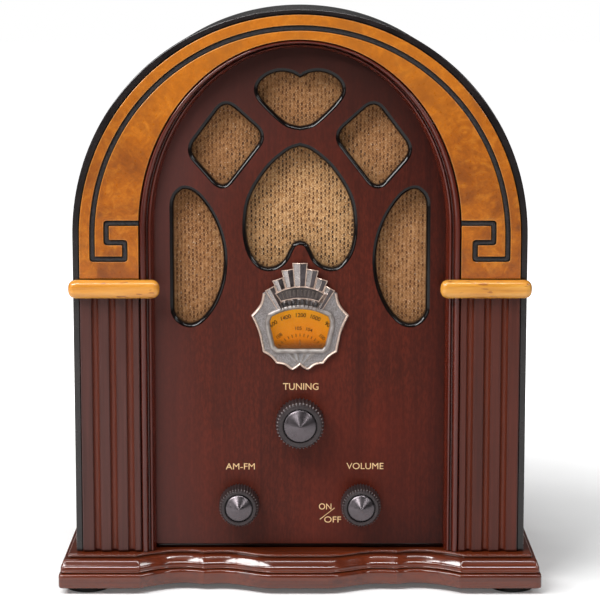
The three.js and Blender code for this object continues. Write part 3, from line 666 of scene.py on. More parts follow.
def panel_mahogany():
    """Red in the middle of the panel, darker near its edge, greyer on its left as a painted reflection and
    darker at its top as a painted shadow of the arch, with upright grain.
    """
    paint = Paint("panel_mahogany", 0.34, 0, 0.12, 0.0)
    grain, streaks = paint.grain(2, (38, 13, 8), (106, 41, 25), 0.22, 0.78)
    flecks = paint.noise(900, 4, 0.7, stretch=(1, 1, 0.35))
    grain = grain.mix(flecks.ramp((0.42, 0.5), (0.6, 0.0)), (40, 15, 10))
    across = abs(paint.axis("X")) * (1 / PANEL_HALF)
    up = (paint.axis("Z") - PANEL_MIDDLE) * (1 / PANEL_RISE)
    up = up.maths("MAXIMUM", up * -1.8)
    patch = paint.noise(1, 3, 0.6, stretch=(11, 11, 7))
    edge = (across ** 2.4 + up ** 2.2 + (patch - 0.5)).ramp((0.25, 0.0), (1.0, 1.0))
    # painted reflection: a grey haze on the left, as the lights on that side would give
    left_reflection_grey = paint.left_reflection_share(0.085) * 0.5
    outer = grain.mix(0.75, (140, 120, 118), "MULTIPLY").mix(left_reflection_grey, (106, 68, 64))
    red = grain.mix(patch.ramp((0.45, 0.0), (0.75, 0.45)), (116, 36, 18)).mix(left_reflection_grey * 0.5, (96, 58, 52))
    # painted shadow: the top of the panel darkened where the arch overhangs it
    crown = paint.axis("Z").ramp((0.235, 0.0), (0.29, 0.75))
    paint.colour(red.mix(edge, outer).mix(crown, (46, 26, 22)))
    paint.bump(streaks, 0.10, 0.04)


def pilaster_mahogany():
    """Greyish brown faces, greyer on the left as a painted reflection, with painted light in the flutes and
    painted shade on their edges.
    """
    paint = Paint("pilaster_mahogany", 0.34, 0, 0.25, 0.1, 0.08)
    left_reflection_grey, streaks = paint.grain(2, (50, 28, 25), (96, 56, 50), 0.26, 0.74)
    brown, _ = paint.grain(2, (50, 21, 15), (94, 42, 30), 0.26, 0.74)
    # painted reflection: the grain greyer towards the left of the radio
    colour = brown.mix(paint.left_reflection_share(), left_reflection_grey)
    # painted light: the flutes turned a warmer brown, standing for their lit walls
    colour = colour.mix(paint.hollows(3, 0.5, 0.9) * 0.8, (140, 62, 34))
    # painted shade: dark lines along the flutes' edges
    colour = colour.mix(paint.edges(0.45) * 0.55, (34, 17, 14))
    stain = paint.noise(1, 3, 0.6, stretch=(40, 40, 9))
    paint.colour(colour.mix(stain.ramp((0.5, 0.0), (0.75, 0.4)), (46, 24, 20)))
    paint.roughness(streaks, 0.3, 0.42)
    paint.bump(streaks, 0.15, 0.05)


def burl_veneer():
    """Clouded amber burl with curls, eyes and dark smudges, and a painted highlight as a thin bright line
    on its edges.
    """
    paint = Paint("burl_veneer", 0.3, 0, 0.3, 0.35, 0.1)
    clouds = paint.noise(38, 6, 0.66, 1.2)
    figure = paint.noise(120, 5, 0.66, 1.8)
    fine = paint.noise(700, 3, 0.6)
    smudges = paint.noise(24, 5, 0.72, 0.8)
    eyes = paint.cells(130, (1, 1, 0.8))
    colour = clouds.ramp((0.3, (128, 66, 12)), (0.46, (158, 84, 13)), (0.6, (180, 100, 18)),
                         (0.76, (214, 138, 44)))
    curl = figure.ramp((0.34, (118, 58, 12)), (0.5, (166, 90, 16)), (0.68, (210, 134, 42)))
    colour = colour.mix(0.42, curl).mix(smudges.ramp((0.47, 0.0), (0.66, 0.85)), (112, 58, 22))
    spots = eyes.ramp((0.05, 1.0), (0.26, 0.0)) * clouds.ramp((0.42, 0.6), (0.6, 0.0))
    colour = colour.mix(spots, (104, 58, 34)).mix(fine.ramp((0.42, 0.0), (0.7, 0.3)), (122, 66, 22))
    colour = colour.mix(paint.axis("Z").ramp((0.23, 0.0), (0.285, 0.35)), (214, 128, 34))
    # painted highlight: a thin bright line along the rounded edges
    paint.colour(colour.mix(paint.edges(0.7) * 0.6, (226, 164, 70)))
    paint.roughness(fine, 0.26, 0.36)
    paint.bump(clouds, 0.08, 0.05)


def honey_wood():
    paint = Paint("honey_wood", 0.25, 0, 0.4, 0.7, 0.1)
    grain = paint.noise(1, 4, 0.6, stretch=(24, 300, 300))
    broad = paint.noise(1, 2, 0.5, stretch=(14, 80, 60))
    flecks = paint.noise(1, 1, 0.4, stretch=(150, 500, 620))
    colour = grain.ramp((0.3, (190, 130, 44)), (0.5, (218, 160, 62)), (0.72, (234, 184, 92)))
    colour = colour.mix(broad.ramp((0.42, 0.0), (0.7, 0.5)), (208, 134, 34))
    colour = colour.mix(flecks.ramp((0.64, 0.0), (0.72, 0.7)), (140, 78, 30))
    paint.colour(colour.mix(0.7, (238, 214, 196), "MULTIPLY"))
    paint.bump(grain, 0.06, 0.04)


def black_lacquer(name, roughness, peel, tint, specular, coat):
    """Black gloss with orange peel and faint wood grain under it."""
    paint = Paint(name, roughness, 0, specular, coat, 0.05)
    paint.colour(paint.noise(1, 3, 0.6, stretch=(60, 8, 60)).between((22, 18, 17), tint))
    paint.roughness(paint.noise(60, 3, 0.6), roughness, roughness + 0.08)
    paint.bump(paint.noise(420, 2), peel, 0.08)


def inlay_black():
    paint = Paint("inlay_black", 0.4, 0, 0.35, 0.1, 0.2)
    rough = paint.noise(900, 3, 0.6)
    paint.colour(rough.ramp((0.3, (20, 17, 17)), (0.75, (58, 52, 53))))
    paint.bump(rough, 0.6, 0.25)


# ------------------------------------------------------------ cloth, plastic, metal and the rest

def dashes(paint, column, row, reach, length):
    """Short marks, one in each cell of a grid, each as dark as its cell happens to be."""
    mark = (column.from_middle().ramp((reach, 1.0), (reach + 0.1, 0.0))
            * row.from_middle().ramp((length, 1.0), (length + 0.1, 0.0)))
    cell = paint.vector(X=column.maths("FLOOR"), Y=row.maths("FLOOR"))
    return mark * paint.texture("WhiteNoise", "Value", cell).ramp((0.0, 0.15), (0.75, 1.0))


COLUMN_PITCH, ROW_PITCH = 0.00205, 0.0024
SPEAKER_Z, GRILLE_Z = 206, 192


def cloth_gaps(paint, column, row):
    """Where the weave is open: upright gaps in staggered columns, and fainter level ones."""
    row = row + column.maths("FLOOR").maths("MODULO", 2.0) * 0.5
    upright = dashes(paint, column, row, 0.17, 0.27)
    level = dashes(paint, column + 0.5, row + 0.45, 0.26, 0.07)
    return upright.maths("MAXIMUM", level * 0.6)


def cloth_threads(paint, thread, column):
    """The straw colour of the yarn, browner in patches, with painted shade in each furrow and far from the
    middle.
    """
    colour = thread.ramp((0.3, (150, 104, 62)), (0.46, (188, 142, 94)), (0.58, (206, 162, 114)),
                         (0.72, (232, 196, 150)))
    tone = paint.noise(1, 2, 0.5, stretch=(14, 14, 9))
    colour = colour.mix(tone.ramp((0.38, 0.0), (0.7, 0.25)), (190, 140, 96), "MULTIPLY")
    # painted shade along each furrow of the weave
    colour = colour.mix(column.from_middle().ramp((0.05, 0.3), (0.3, 0.0)), (150, 104, 64))
    # painted shade: darker far from the middle of the grille
    outer = paint.from_axis(0, GRILLE_Z).ramp((0.026, 0.0), (0.05, 0.55))
    return colour.mix(outer, (196, 168, 150), "MULTIPLY")


def weave_cloth():
    """An open basket weave, its gaps painted dark as the shade inside the cabinet and the dark loudspeaker
    behind it.
    """
    paint = Paint("grille_cloth", 0.9, 0, 0.15)
    plug(paint.inputs["Sheen Weight"], 0.2)
    plug(paint.inputs["Sheen Roughness"], 0.5)
    wander = (paint.noise(60, 2) - 0.5) * 0.9
    column = paint.axis("X") * (1 / COLUMN_PITCH) + wander
    gaps = cloth_gaps(paint, column, paint.axis("Z") * (1 / ROW_PITCH) + wander)
    yarn = paint.noise(1, 3, 0.65, stretch=(1100, 1100, 700))
    slub = paint.noise(1, 3, 0.6, stretch=(240, 240, 640))
    thread = yarn * 0.55 + slub * 0.45
    # painted shade: the gaps darkest where the loudspeaker lies behind, standing for what is seen through
    # them
    behind = paint.from_axis(0, SPEAKER_Z).ramp((0.01, 0.3), (0.02, 1.0), (0.036, 1.0), (0.048, 0.15))
    dark = behind.ramp((0.0, (104, 62, 34)), (1.0, (62, 40, 26)))
    colour = cloth_threads(paint, thread, column).mix(gaps * 0.95, dark)
    # painted highlights: tiny bright glints on the threads
    paint.colour(colour.mix(paint.noise(1900, 1).ramp((0.72, 0.0), (0.78, 0.8)), (250, 232, 206)))
    paint.bump(thread * 0.6 - gaps * 0.7, 0.8, 0.6)


def plastic(name, dark, light, roughness=0.35, scale=900, bump=0.1, specular=0.4):
    paint = Paint(name, roughness, 0, specular)
    mottle = paint.noise(70, 3, 0.6)
    paint.colour(mottle.between(dark, light))
    paint.roughness(mottle, roughness - 0.05, roughness + 0.08)
    paint.bump(paint.noise(scale, 2), bump, 0.05)


def knob_plastic(x, z, radius, name):
    """Dark brown plastic, with painted highlights on the front tips of its flutes and painted shade in its
    hollows.
    """
    paint = Paint(name, 0.38, 0, 0.3, 0.1)
    mottle = paint.noise(90, 3, 0.6)
    depth = (paint.axis("Y") - (KNOB_BACK - KNOB_LENGTH) * MM) * 400
    front_highlight_band = depth.ramp((0.0, 0.0), (0.1, 1.0), (0.4, 1.0), (0.7, 0.0))
    crest_highlight = (paint.from_axis(x, z) / (radius * MM)).ramp((0.9, 0.0), (0.95, 1.0))
    colour = mottle.between((46, 39, 40), (60, 52, 53))
    # painted highlight: bright ticks where the flutes end at the front
    colour = colour.mix(crest_highlight * front_highlight_band, (150, 142, 142))
    # painted shade in the hollows
    paint.colour(colour.mix(paint.hollows(1.2, 0.3, 0.75) * 0.7, (24, 19, 18)))
    paint.roughness(mottle, 0.32, 0.44)
    paint.bump(paint.noise(1200, 2), 0.08, 0.05)


def metal(name, dark, light, roughness=0.3):
    paint = Paint(name, roughness, 1.0)
    brush = paint.noise(1, 3, 0.6, stretch=(900, 900, 900))
    stain = paint.noise(55, 4, 0.65)
    paint.colour(stain.between(dark, light).mix(0.35, brush.between(dark, light)))
    paint.roughness(brush, roughness - 0.06, roughness + 0.1)
    paint.bump(brush, 0.05, 0.03)


def spun_metal(x, z, name):
    """Turned metal, with rings about the middle of a knob."""
    paint = Paint(name, 0.3, 1.0)
    rings = paint.noise(9000, 2, 0.7, at=paint.vector(X=paint.from_axis(x, z)))
    smudge = paint.noise(240, 3)
    colour = rings.between((90, 84, 87), (114, 107, 110))
    paint.colour(colour.mix(0.3, smudge.ramp((0.35, (82, 76, 79)), (0.65, (108, 101, 105)))))
    paint.roughness(smudge, 0.26, 0.31)
    paint.bump(rings, 0.02, 0.01)


def pewter_field():
    """Pebbled metal, dark in its hollows."""
    paint = Paint("pewter_field", 0.45, 0.55)
    pebbles = paint.cells(2400)
    patina = paint.noise(190, 4, 0.7).ramp((0.4, 0.0), (0.7, 0.4))
    paint.colour(pebbles.ramp((0.15, (188, 183, 182)), (0.62, (124, 118, 118))).mix(patina, (116, 100, 92)))
    paint.bump(pebbles, 0.6, 0.15)


RUBBED = (250, 226, 206)


def pewter(name, dark, light, edge, roughness, width=0.3, metallic=1.0, corners=0.6):
    """Cast metal, coppery where its edges are rubbed and dark in its corners."""
    paint = Paint(name, roughness, metallic)
    patina = paint.noise(260, 4, 0.7)
    colour = patina.ramp((0.32, dark), (0.68, light))
    colour = colour.mix(paint.hollows(0.9, 0.3, 0.7) * corners, (44, 34, 30))
    paint.colour(colour.mix(paint.edges(width) * 0.8, edge))
    paint.roughness(patina, roughness - 0.06, roughness + 0.1)
    paint.bump(paint.noise(1400, 2), 0.2, 0.05)


def clear_window():
    """A clear pane with a painted shadow, a brown band, along its foot."""
    paint = Paint("window", 0.06, 0, 0.25)
    film = paint.noise(90, 3)
    paint.colour(film.between((90, 48, 6), (104, 58, 10)))
    # painted shadow: the pane turns a more opaque brown along its foot
    plug(paint.inputs["Alpha"], paint.axis("Z").ramp((0.1305, 0.6), (0.1325, 0.1)))
    paint.roughness(film, 0.04, 0.1)


def dial_amber():
    """Translucent amber card that glows with painted light, brightest round its edge."""
    paint = Paint("dial_card", 0.45, 0, 0.4)
    glow = paint.from_axis(0, DIAL_Z) * (1 / 0.03) + (paint.noise(150, 3) - 0.5) * 0.4
    colour = glow.ramp((0.3, (192, 102, 0)), (0.55, (212, 122, 0)), (0.75, (224, 138, 4)),
                       (1.0, (244, 166, 18)))
    paint.colour(colour)
    # painted light: the card glows as though lit from behind
    plug(paint.inputs["Emission Color"], colour)
    plug(paint.inputs["Emission Strength"], 0.5)


def print_ink(name, dark, light):
    paint = Paint(name, 0.5, 0, 0.3)
    paint.colour(paint.noise(800, 3, 0.7).ramp((0.3, dark), (0.6, light)))


def circuit_board():
    paint = Paint("circuit_board", 0.4, 0, 0.5)
    tracks = paint.texture("Brick", "Color", paint.place(), Scale=90, Color1=(30, 74, 46),
                           Color2=(36, 88, 54), Mortar=(64, 120, 76), **{"Mortar Size": 0.03})
    blotch = paint.noise(60, 3)
    paint.colour(tracks.mix(blotch.ramp((0.4, 0.0), (0.7, 0.4)), (22, 52, 34)))
    paint.bump(Signal(tracks.socket.node.outputs["Fac"]), 0.2, 0.05)


def copper_wire():
    paint = Paint("copper_winding", 0.3, 0.9)
    turns = paint.texture("Wave", "Fac", paint.place(), {"bands_direction": "X"}, Scale=700, Distortion=0.4)
    paint.colour(turns.ramp((0.1, (96, 44, 22)), (0.8, (196, 106, 60))))
    paint.bump(turns, 0.6, 0.2)


def pulp(name, dark, light, scale=500, bump=0.35):
    """Matt pressed fibre: speaker paper or hardboard."""
    paint = Paint(name, 0.85, 0, 0.2)
    fibre = paint.noise(scale, 5, 0.7)
    blotch = paint.noise(35, 3).ramp((0.4, 0.0), (0.7, 0.3))
    paint.colour(fibre.between(dark, light).mix(blotch, dark))
    paint.bump(fibre, bump, 0.12)


def make_wood_paints():
    # the last colour of mahogany and base_mahogany is their edge colour: partly wear, partly painted
    # highlight
    mahogany("mahogany", (58, 30, 26), (104, 58, 48), 2, 0.34, 0.2, 0.1, (150, 84, 52))
    mahogany("base_mahogany", (60, 19, 8), (112, 47, 22), 0, 0.14, 0.25, 0.6, (136, 70, 38))
    mahogany("trim_mahogany", (54, 15, 9), (96, 33, 18), 2, 0.2, 0.3, 0.35)
    panel_mahogany()
    pilaster_mahogany()
    burl_veneer()
    honey_wood()
    black_lacquer("black_lacquer", 0.16, 0.05, (40, 34, 34), 0.4, 0.2)
    black_lacquer("black_edge", 0.08, 0.12, (12, 7, 6), 0.15, 0.28)
    inlay_black()


def make_metal_paints():
    metal("steel", (150, 150, 148), (200, 200, 196), 0.35)
    metal("brass", (168, 132, 66), (214, 178, 104), 0.28)
    copper_wire()
    pewter_field()
    pewter("pewter", (146, 138, 136), (178, 171, 168), RUBBED, 0.24, 0.4, 0.9)
    pewter("pewter_rim", (184, 160, 146), (226, 200, 184), (244, 220, 200), 0.3, 0.3, 0.4, 0.3)
    # a darker copy of the pewter, for painted shade on facets turned away from the lights
    pewter("pewter_painted_shade", (78, 72, 74), (112, 104, 105), RUBBED, 0.3, 0.4, 0.8)
    pewter("pewter_fan", (120, 116, 116), (170, 166, 166), (200, 186, 176), 0.42, 0.15, 0.6)
    pewter("pewter_frame", (128, 120, 116), (168, 160, 155), (190, 178, 168), 0.36, 0.3, 0.6, 0.4)
    pewter("pewter_dark", (62, 56, 54), (104, 96, 94), (160, 144, 132), 0.45, 0.2, 0.7)


def make_plain_paints():
    weave_cloth()
    clear_window()
    dial_amber()
    print_ink("dial_ink", (70, 34, 14), (96, 50, 22))
    print_ink("legend_ink", (220, 178, 126), (238, 202, 152))
    plastic("rubber", (20, 20, 20), (34, 34, 34), 0.8, 1200, 0.4)
    # painted shade for the slots of the screw heads
    plastic("recess_painted_shade", (16, 13, 12), (26, 22, 21), 0.6)
    plastic("white_plastic", (222, 216, 200), (240, 236, 226), 0.45, 700)
    plastic("ferrite", (40, 38, 37), (66, 62, 60), 0.55, 1500, 0.4)
    plastic("black_plastic", (24, 24, 25), (42, 42, 44), 0.45, 1500, 0.3)
    circuit_board()
    pulp("cone_paper", (28, 27, 26), (58, 56, 54))
    pulp("hardboard", (58, 42, 32), (92, 70, 54), 420, 0.3)


def finish_piece(piece, paint, slot, *replaced, body="cabinet"):
    piece.data.materials.clear()
    piece.data.materials.append(paints[paint])
    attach(piece, body)
    if replaced:
        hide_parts(*replaced)


# ------------------------------------------------------------ base

BULGE_END, WAIST, CUSP, HOLLOW, BLOCK_START = 14, 41, 51.3, 61, 83.6
WAIST_SETBACK, CUSP_SETBACK, HOLLOW_SETBACK = 9.4, 8.3, 10.8


def front_setback(x):
    """How far the serpentine front lies behind the corner blocks, at a distance x from the middle."""
    across = abs(x)
    if across <= BULGE_END or across >= BLOCK_START:
        return 0
    if across < WAIST:
        share = (WAIST - across) / (WAIST - BULGE_END)
        return WAIST_SETBACK * (0.5 + 0.5 * math.cos(math.pi * share))
    if across < CUSP:
        return WAIST_SETBACK - (WAIST_SETBACK - CUSP_SETBACK) * ((across - WAIST) / (CUSP - WAIST)) ** 2
    if across < HOLLOW:
        return HOLLOW_SETBACK - (HOLLOW_SETBACK - CUSP_SETBACK) * ((HOLLOW - across) / (HOLLOW - CUSP)) ** 2
    return HOLLOW_SETBACK * (1 - ((across - HOLLOW) / (BLOCK_START - HOLLOW)) ** 2)


def base_ring(z, inset):
    """The plan of the base at one height, from its rear left corner round the front to the rear right."""
    side = BASE_HALF - 0.52 * inset
    stations = [-BLOCK_START + 1.3 * i for i in range(54)]
    stations = [x for x in stations if x < -BULGE_END] + [-BULGE_END]
    front = []
    for x in stations:
        slide = 0.35 * inset * max(0, (-x - HOLLOW) / (BLOCK_START - HOLLOW))
        front.append((x - slide, BASE_FRONT + front_setback(x) + inset))
    half = [(-side, BASE_REAR), (-side, BASE_FRONT + inset), *front]
    line = half + mirrored(half)
    corner = 2.6 - 0.1 * inset
    plan = [line[0], *fillet(line[0], line[1], line[2], corner, 6),
            *fillet(line[1], line[2], line[3], 0.9, 4), *line[3:-3],
            *fillet(line[-4], line[-3], line[-2], 0.9, 4),
            *fillet(line[-3], line[-2], line[-1], corner, 6), line[-1]]
    return [(x, y, z) for x, y in plan]


# height, and inset from the outline of the base
PLINTH_PROFILE = [(BASE_BOTTOM, 1.0), (BASE_BOTTOM + 0.3, 0.4), (BASE_BOTTOM + 0.9, 0.05), (5, 0),
                  (7, 0), (9.3, 0.03), (9.8, 0.14), (10.2, 0.3), (10.55, 0.52), (10.85, 0.9),
                  (11.0, 1.4), (11.05, 2.6)]
MOULDING_PROFILE = [(11.1, 2.6), (11.3, 2.5), (11.4, 2.1), (11.55, 1.8), (11.8, 1.65), (12.1, 1.65),
                    (12.3, 1.78), (12.5, 1.82), (13.2, 1.88), (13.8, 1.98), (14.1, 2.08), (14.35, 2.25),
                    (14.55, 2.48), (15.0, 2.77), (15.5, 3.1), (16.0, 3.45), (16.5, 3.82), (17.0, 4.2),
                    (17.35, 4.5), (17.52, 4.75), (17.62, 5.1), (17.68, 5.6), (17.72, 6.6), (17.74, 8.0),
                    (17.8, 9.0), (18.1, 9.1), (18.2, 8.8), (18.4, 8.55), (19.0, 8.5), (19.25, 8.6),
                    (19.45, 8.8), (19.6, 9.1), (19.72, 9.6), (BASE_TOP, 10.2)]


def add_base():
    plinth = loft("base_plinth_board", [base_ring(z, inset) for z, inset in PLINTH_PROFILE], angle=28)
    finish_piece(plinth, "base_mahogany", "mahogany", "base_plinth")
    top = loft("base_ogee_moulding", [base_ring(z, inset) for z, inset in MOULDING_PROFILE], angle=28)
    finish_piece(top, "base_mahogany", "mahogany", "base_moulding")
    for side in ("left", "right"):
        for end in ("front", "rear"):
            add_foot(f"foot_{end}_{side}")


def add_foot(node):
    corner, far = (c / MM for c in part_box(node))
    x, y = (corner.x + far.x) / 2, (corner.y + far.y) / 2
    radius = (far.x - corner.x) / 2
    profile = [(0, 0), (radius - 1.6, 0), (radius - 0.5, 0.25), (radius, 1.0), (radius, far.z - 0.3),
               (radius - 0.3, far.z), (0, far.z)]
    angles = [2 * math.pi * i / 64 for i in range(65)]
    rings = [[(x + r * math.cos(a), y + r * math.sin(a), z) for r, z in profile] for a in angles]
    finish_piece(loft(node + "_pad", rings, closed=False, caps=False), "rubber", "rubber", node)


# ------------------------------------------------------------ cabinet

def arch_loft(name, section, foot_z, steps=80, angle=32):
    """A closed section of (half width, centre height, rise, y, fullness) entries, run over the arch."""
    stations = [("leg", 0)] + [("arc", math.pi * i / steps) for i in range(steps + 1)] + [("leg", math.pi)]
    rings = []
    for kind, turn in stations:
        ring = []
        for half, centre, rise, y, fullness in section:
            across = math.copysign(abs(math.cos(turn)) ** (2 / fullness), math.cos(turn))
            up = abs(math.sin(turn)) ** (2 / fullness)
            ring.append((half * across, y, foot_z if kind == "leg" else centre + rise * up))
        rings.append(ring)
    return loft(name, rings, angle=angle)


def add_shell():
    def outside(inset, y):
        return (SHELL_HALF - inset, ARCH_Z, ARCH_RADIUS - inset, y, SHELL_FULLNESS)

    def inside(radius, y):
        return (radius, ARCH_Z, radius, y, 2)

    ledge = FASCIA_RADIUS + 0.1
    front = [outside(0, SHELL_FRONT + 0.8), outside(0.1, SHELL_FRONT + 0.35),
             outside(0.35, SHELL_FRONT + 0.1), outside(0.7, SHELL_FRONT),
             inside(ledge + 0.25, SHELL_FRONT), inside(ledge, SHELL_FRONT + 0.25),
             inside(ledge, PANEL_Y), inside(SHELL_INNER, PANEL_Y)]
    rear = [inside(SHELL_INNER, SHELL_REAR), outside(1.0, SHELL_REAR), outside(0.3, SHELL_REAR - 0.3),
            outside(0, SHELL_REAR - 1.0)]
    shell = arch_loft("cabinet_shell_veneer", [*front, *rear], FLOOR_Z, 96)
    finish_piece(shell, "black_lacquer", "black_lacquer", "cabinet_shell")


# the grille openings: the right halves of the heart and the fan, and the right diamond and oval
HEART_HALF = [(0, 184.8), (3.4, 183.6), (5.6, 180.2), (8.8, 174.3), (14.8, 170.9), (21, 172.3),
              (26.2, 180), (28, 192.5), (25.6, 207.5), (16.8, 222), (6.6, 231.2), (0, 233.8)]
FAN_HALF = [(0, 244.6), (6.6, 246.4), (14, 252.6), (20.6, 260), (21.4, 265.4), (17.5, 270), (11, 272.4),
            (4.8, 271.8), (0, 269.4)]
DIAMOND = [(18.6, 239.8), (38.8, 257.8), (58.2, 232.2), (40.3, 211.8)]
OVAL = [(66, 150.2), (65.6, 146.9), (63.3, 143.3), (58.5, 141), (52.8, 142.9), (46.6, 150.2),
        (41.8, 161.5), (40.1, 174.5), (41.8, 187), (46.4, 198.5), (53.4, 208.2), (59.8, 211.6),
        (63.8, 209.4), (65.6, 206), (66, 202.8)]


def grille_outlines():
    diamond = rounded(DIAMOND, 6.5, 12)
    oval = spline(OVAL, 90)
    middle = [with_mirror(spline(HEART_HALF, 66)), with_mirror(spline(FAN_HALF, 48))]
    return [*middle, diamond, mirrored(diamond), oval, mirrored(oval)]


def window_outline(margin, steps=24):
    """The dial opening: a shallow crown, straight sides that lean in, and rounded lower corners."""
    crown = arc(0, 119.3, 29.4 + margin, 29.4 + margin, math.radians(60), math.radians(120), steps)
    half = [(11.6, 128.1), (13.2, 129.6), (15.4, 139.5), (15.6, 142.4), (14.7, 144.75)]
    corners = [(-x, z) for x, z in reversed(half)] + half
    line = crown + offset(corners, -margin)
    return [p for i, p in enumerate(line) if math.dist(p, line[i - 1]) > 1e-3]


def paint_faces(piece, paint, picked):
    """Gives a second paint to the faces whose normals are picked."""
    piece.data.materials.append(paints[paint])
    for face in piece.data.polygons:
        face.material_index = int(picked(face.normal))


def add_panel():
    outline = arch_line(SHELL_INNER - GAP, ARCH_Z, SHELL_INNER - GAP, FLOOR_Z, 96)
    holes = [*grille_outlines(), window_outline(1.0)]
    panel = board("front_panel_veneer", outline, PANEL_Y, PANEL_BACK, holes, 2.7, 7, 40)
    finish_piece(panel, "panel_mahogany", "mahogany", "front_panel")
    paint_faces(panel, "black_edge", lambda normal: abs(normal.y) < 0.985)


def inlay_line(reach):
    key = [(reach, KEY_Z[2]), (KEY_X[1], KEY_Z[2]), (KEY_X[1], KEY_Z[1]), (KEY_X[0], KEY_Z[1]),
           (KEY_X[0], KEY_Z[0]), (INLAY_RADIUS, KEY_Z[0])]
    over = arc(0, ARCH_Z, INLAY_RADIUS, INLAY_RADIUS, 0, math.pi, 96)
    return key + over + mirrored(key)


GROOVE_DEPTH = 2.0


def add_fascia():
    """Two islands of veneer, one on each side of the groove of the inlay."""
    inner = (ARCH_INNER[0] + GAP, ARCH_INNER[1], ARCH_INNER[2] + GAP)
    foot = CAPITAL_Z[1] + GAP
    line = inlay_line(inner[0])
    outer_side = eased(offset(line, -INLAY_HALF), (1.9, 0.6))
    inner_side = eased(offset(line, INLAY_HALF), (0.6, 1.9))
    outer_island = (arch_line(FASCIA_RADIUS - GAP, ARCH_Z, FASCIA_RADIUS - GAP, foot, 96)
                    + [(-inner[0], foot)] + outer_side[::-1] + [(inner[0], foot)])
    start = math.asin((inner_side[0][1] - inner[1]) / inner[2])
    inner_edge = arc(0, inner[1], inner[0], inner[2], math.pi - start, start, 90)
    inner_island = inner_side + inner_edge
    outer_piece = board("arch_fascia_outer", outer_island, FACE_Y, SEAT_Y, edge=0.45, steps=2)
    inner_piece = board("arch_fascia_inner", inner_island, FACE_Y, SEAT_Y, edge=0.45, steps=2)
    whole = joined("arch_fascia_veneer", [outer_piece, inner_piece])
    finish_piece(whole, "burl_veneer", "burl_veneer", "arch_fascia")
    paint_faces(whole, "inlay_black", lambda normal: abs(normal.y) < 0.35)
    floor = FACE_Y + GROOVE_DEPTH
    section = [(-1.6, floor + 1), (1.6, floor + 1), (1.6, floor), (1.1, floor - 0.75), (0.3, floor - 1.0),
               (-0.3, floor - 1.0), (-1.1, floor - 0.75), (-1.6, floor)]
    strip = moulding("key_inlay_strip", eased(line, (1.2, 1.2)), section)
    finish_piece(strip, "inlay_black", "black_lacquer", "key_inlay")


# share of the way from the fascia to the opening, and depth behind the face
BEAD_PROFILE = [(0, 7.5), (0, 2.0), (0.03, 1.1), (0.08, 0.45), (0.16, 0.05), (0.24, 0.0), (0.32, 0.15),
                (0.39, 0.6), (0.44, 1.3), (0.47, 2.6), (0.5, 3.4), (0.55, 3.5), (0.59, 3.0),
                (0.64, 2.55), (0.70, 2.4), (0.76, 2.6), (0.81, 3.1), (0.84, 4.0), (0.87, 4.9),
                (0.92, 5.2), (0.96, 6.2), (1.0, 7.2), (1.0, 8.6)]


def add_bead_moulding():
    section = [(*blend_arches(share), FACE_Y + depth, 2) for share, depth in BEAD_PROFILE]
    bead = arch_loft("bead_moulding_trim", section, FLOOR_Z, 96, 42)
    finish_piece(bead, "trim_mahogany", "mahogany", "bead_moulding")


def pilaster_ring(sign, z, sunk):
    inner, outer = ARCH_INNER[0] + GAP, FASCIA_RADIUS - GAP
    front = [(inner, FACE_Y + 0.5), (inner + 0.5, FACE_Y)]
    for x in FLUTE_X:
        front += [(x - FLUTE_RADIUS - 0.35, FACE_Y)]
        front += arc(x, FACE_Y + 0.3, FLUTE_RADIUS, FLUTE_RADIUS * 1.2, math.pi, 0, 12)
        front += [(x + FLUTE_RADIUS + 0.35, FACE_Y)]
    front += [(outer - 0.5, FACE_Y), (outer, FACE_Y + 0.5)]
    plan = [(inner, SEAT_Y), *[(x, y + sunk) for x, y in front], (outer, SEAT_Y)]
    return [(sign * x, y, z) for x, y in plan]


def add_sides():
    for side, sign in (("left", -1), ("right", 1)):
        top = CAPITAL_Z[0] - GAP
        levels = [(FLOOR_Z, 1.0), (FLOOR_Z + 0.3, 0.45), (FLOOR_Z + 1.0, 0), (60, 0), (100, 0), (top, 0)]
        rings = [pilaster_ring(sign, z, sunk) for z, sunk in levels]
        pilaster = loft(f"pilaster_{side}_fluted", rings, angle=24)
        finish_piece(pilaster, "pilaster_mahogany", "mahogany", f"pilaster_{side}")
        x, half_width = sign * sum(CAPITAL_X) / 2, (CAPITAL_X[1] - CAPITAL_X[0]) / 2
        z, half_height = sum(CAPITAL_Z) / 2, (CAPITAL_Z[1] - CAPITAL_Z[0]) / 2
        bar = rounded_box(x, z, half_width, half_height, 4.6, 10)
        capital = board(f"capital_{side}_bar", bar, CAPITAL_FRONT, SHELL_FRONT - 0.1, (), 3.3, 6, 60)
        finish_piece(capital, "honey_wood", "honey_wood", f"capital_{side}")


def add_cloth():
    """The sheet of cloth behind the grille, with the notch that leaves room for the dial."""
    reach, foot, centre, rise = 72, 134, 213, 68
    notch_half, notch_top = 35.5, 160
    notch = [(-notch_half, foot), (-notch_half, notch_top), (notch_half, notch_top), (notch_half, foot)]
    outline = arch_line(reach, centre, rise, foot, 60) + notch
    sheet = board("grille_cloth_weave", outline, CLOTH_Y + 0.1, CLOTH_Y + 0.9)
    finish_piece(sheet, "grille_cloth", "grille_cloth", "grille_cloth")


# ------------------------------------------------------------ name plate and dial

RAY_CENTRE_Z = 130
RAY_STEP = math.radians(9.3)
# the far and near ends and half the angle of each ray, by its steps from the middle one
RAY_TOPS = (43.2, 40.2, 36.6, 33.8)
RAY_FEET = (24, 24, 24, 21.4)
RAY_HALVES = [math.radians(a) for a in (4.9, 4.2, 4.2, 4.2)]
PLATE_FACE = SEAT_Y - 1.3


def polar(angle, radius):
    """A point at an angle from straight up, measured to the right, about the centre of the rays."""
    return radius * math.sin(angle), RAY_CENTRE_Z + radius * math.cos(angle)


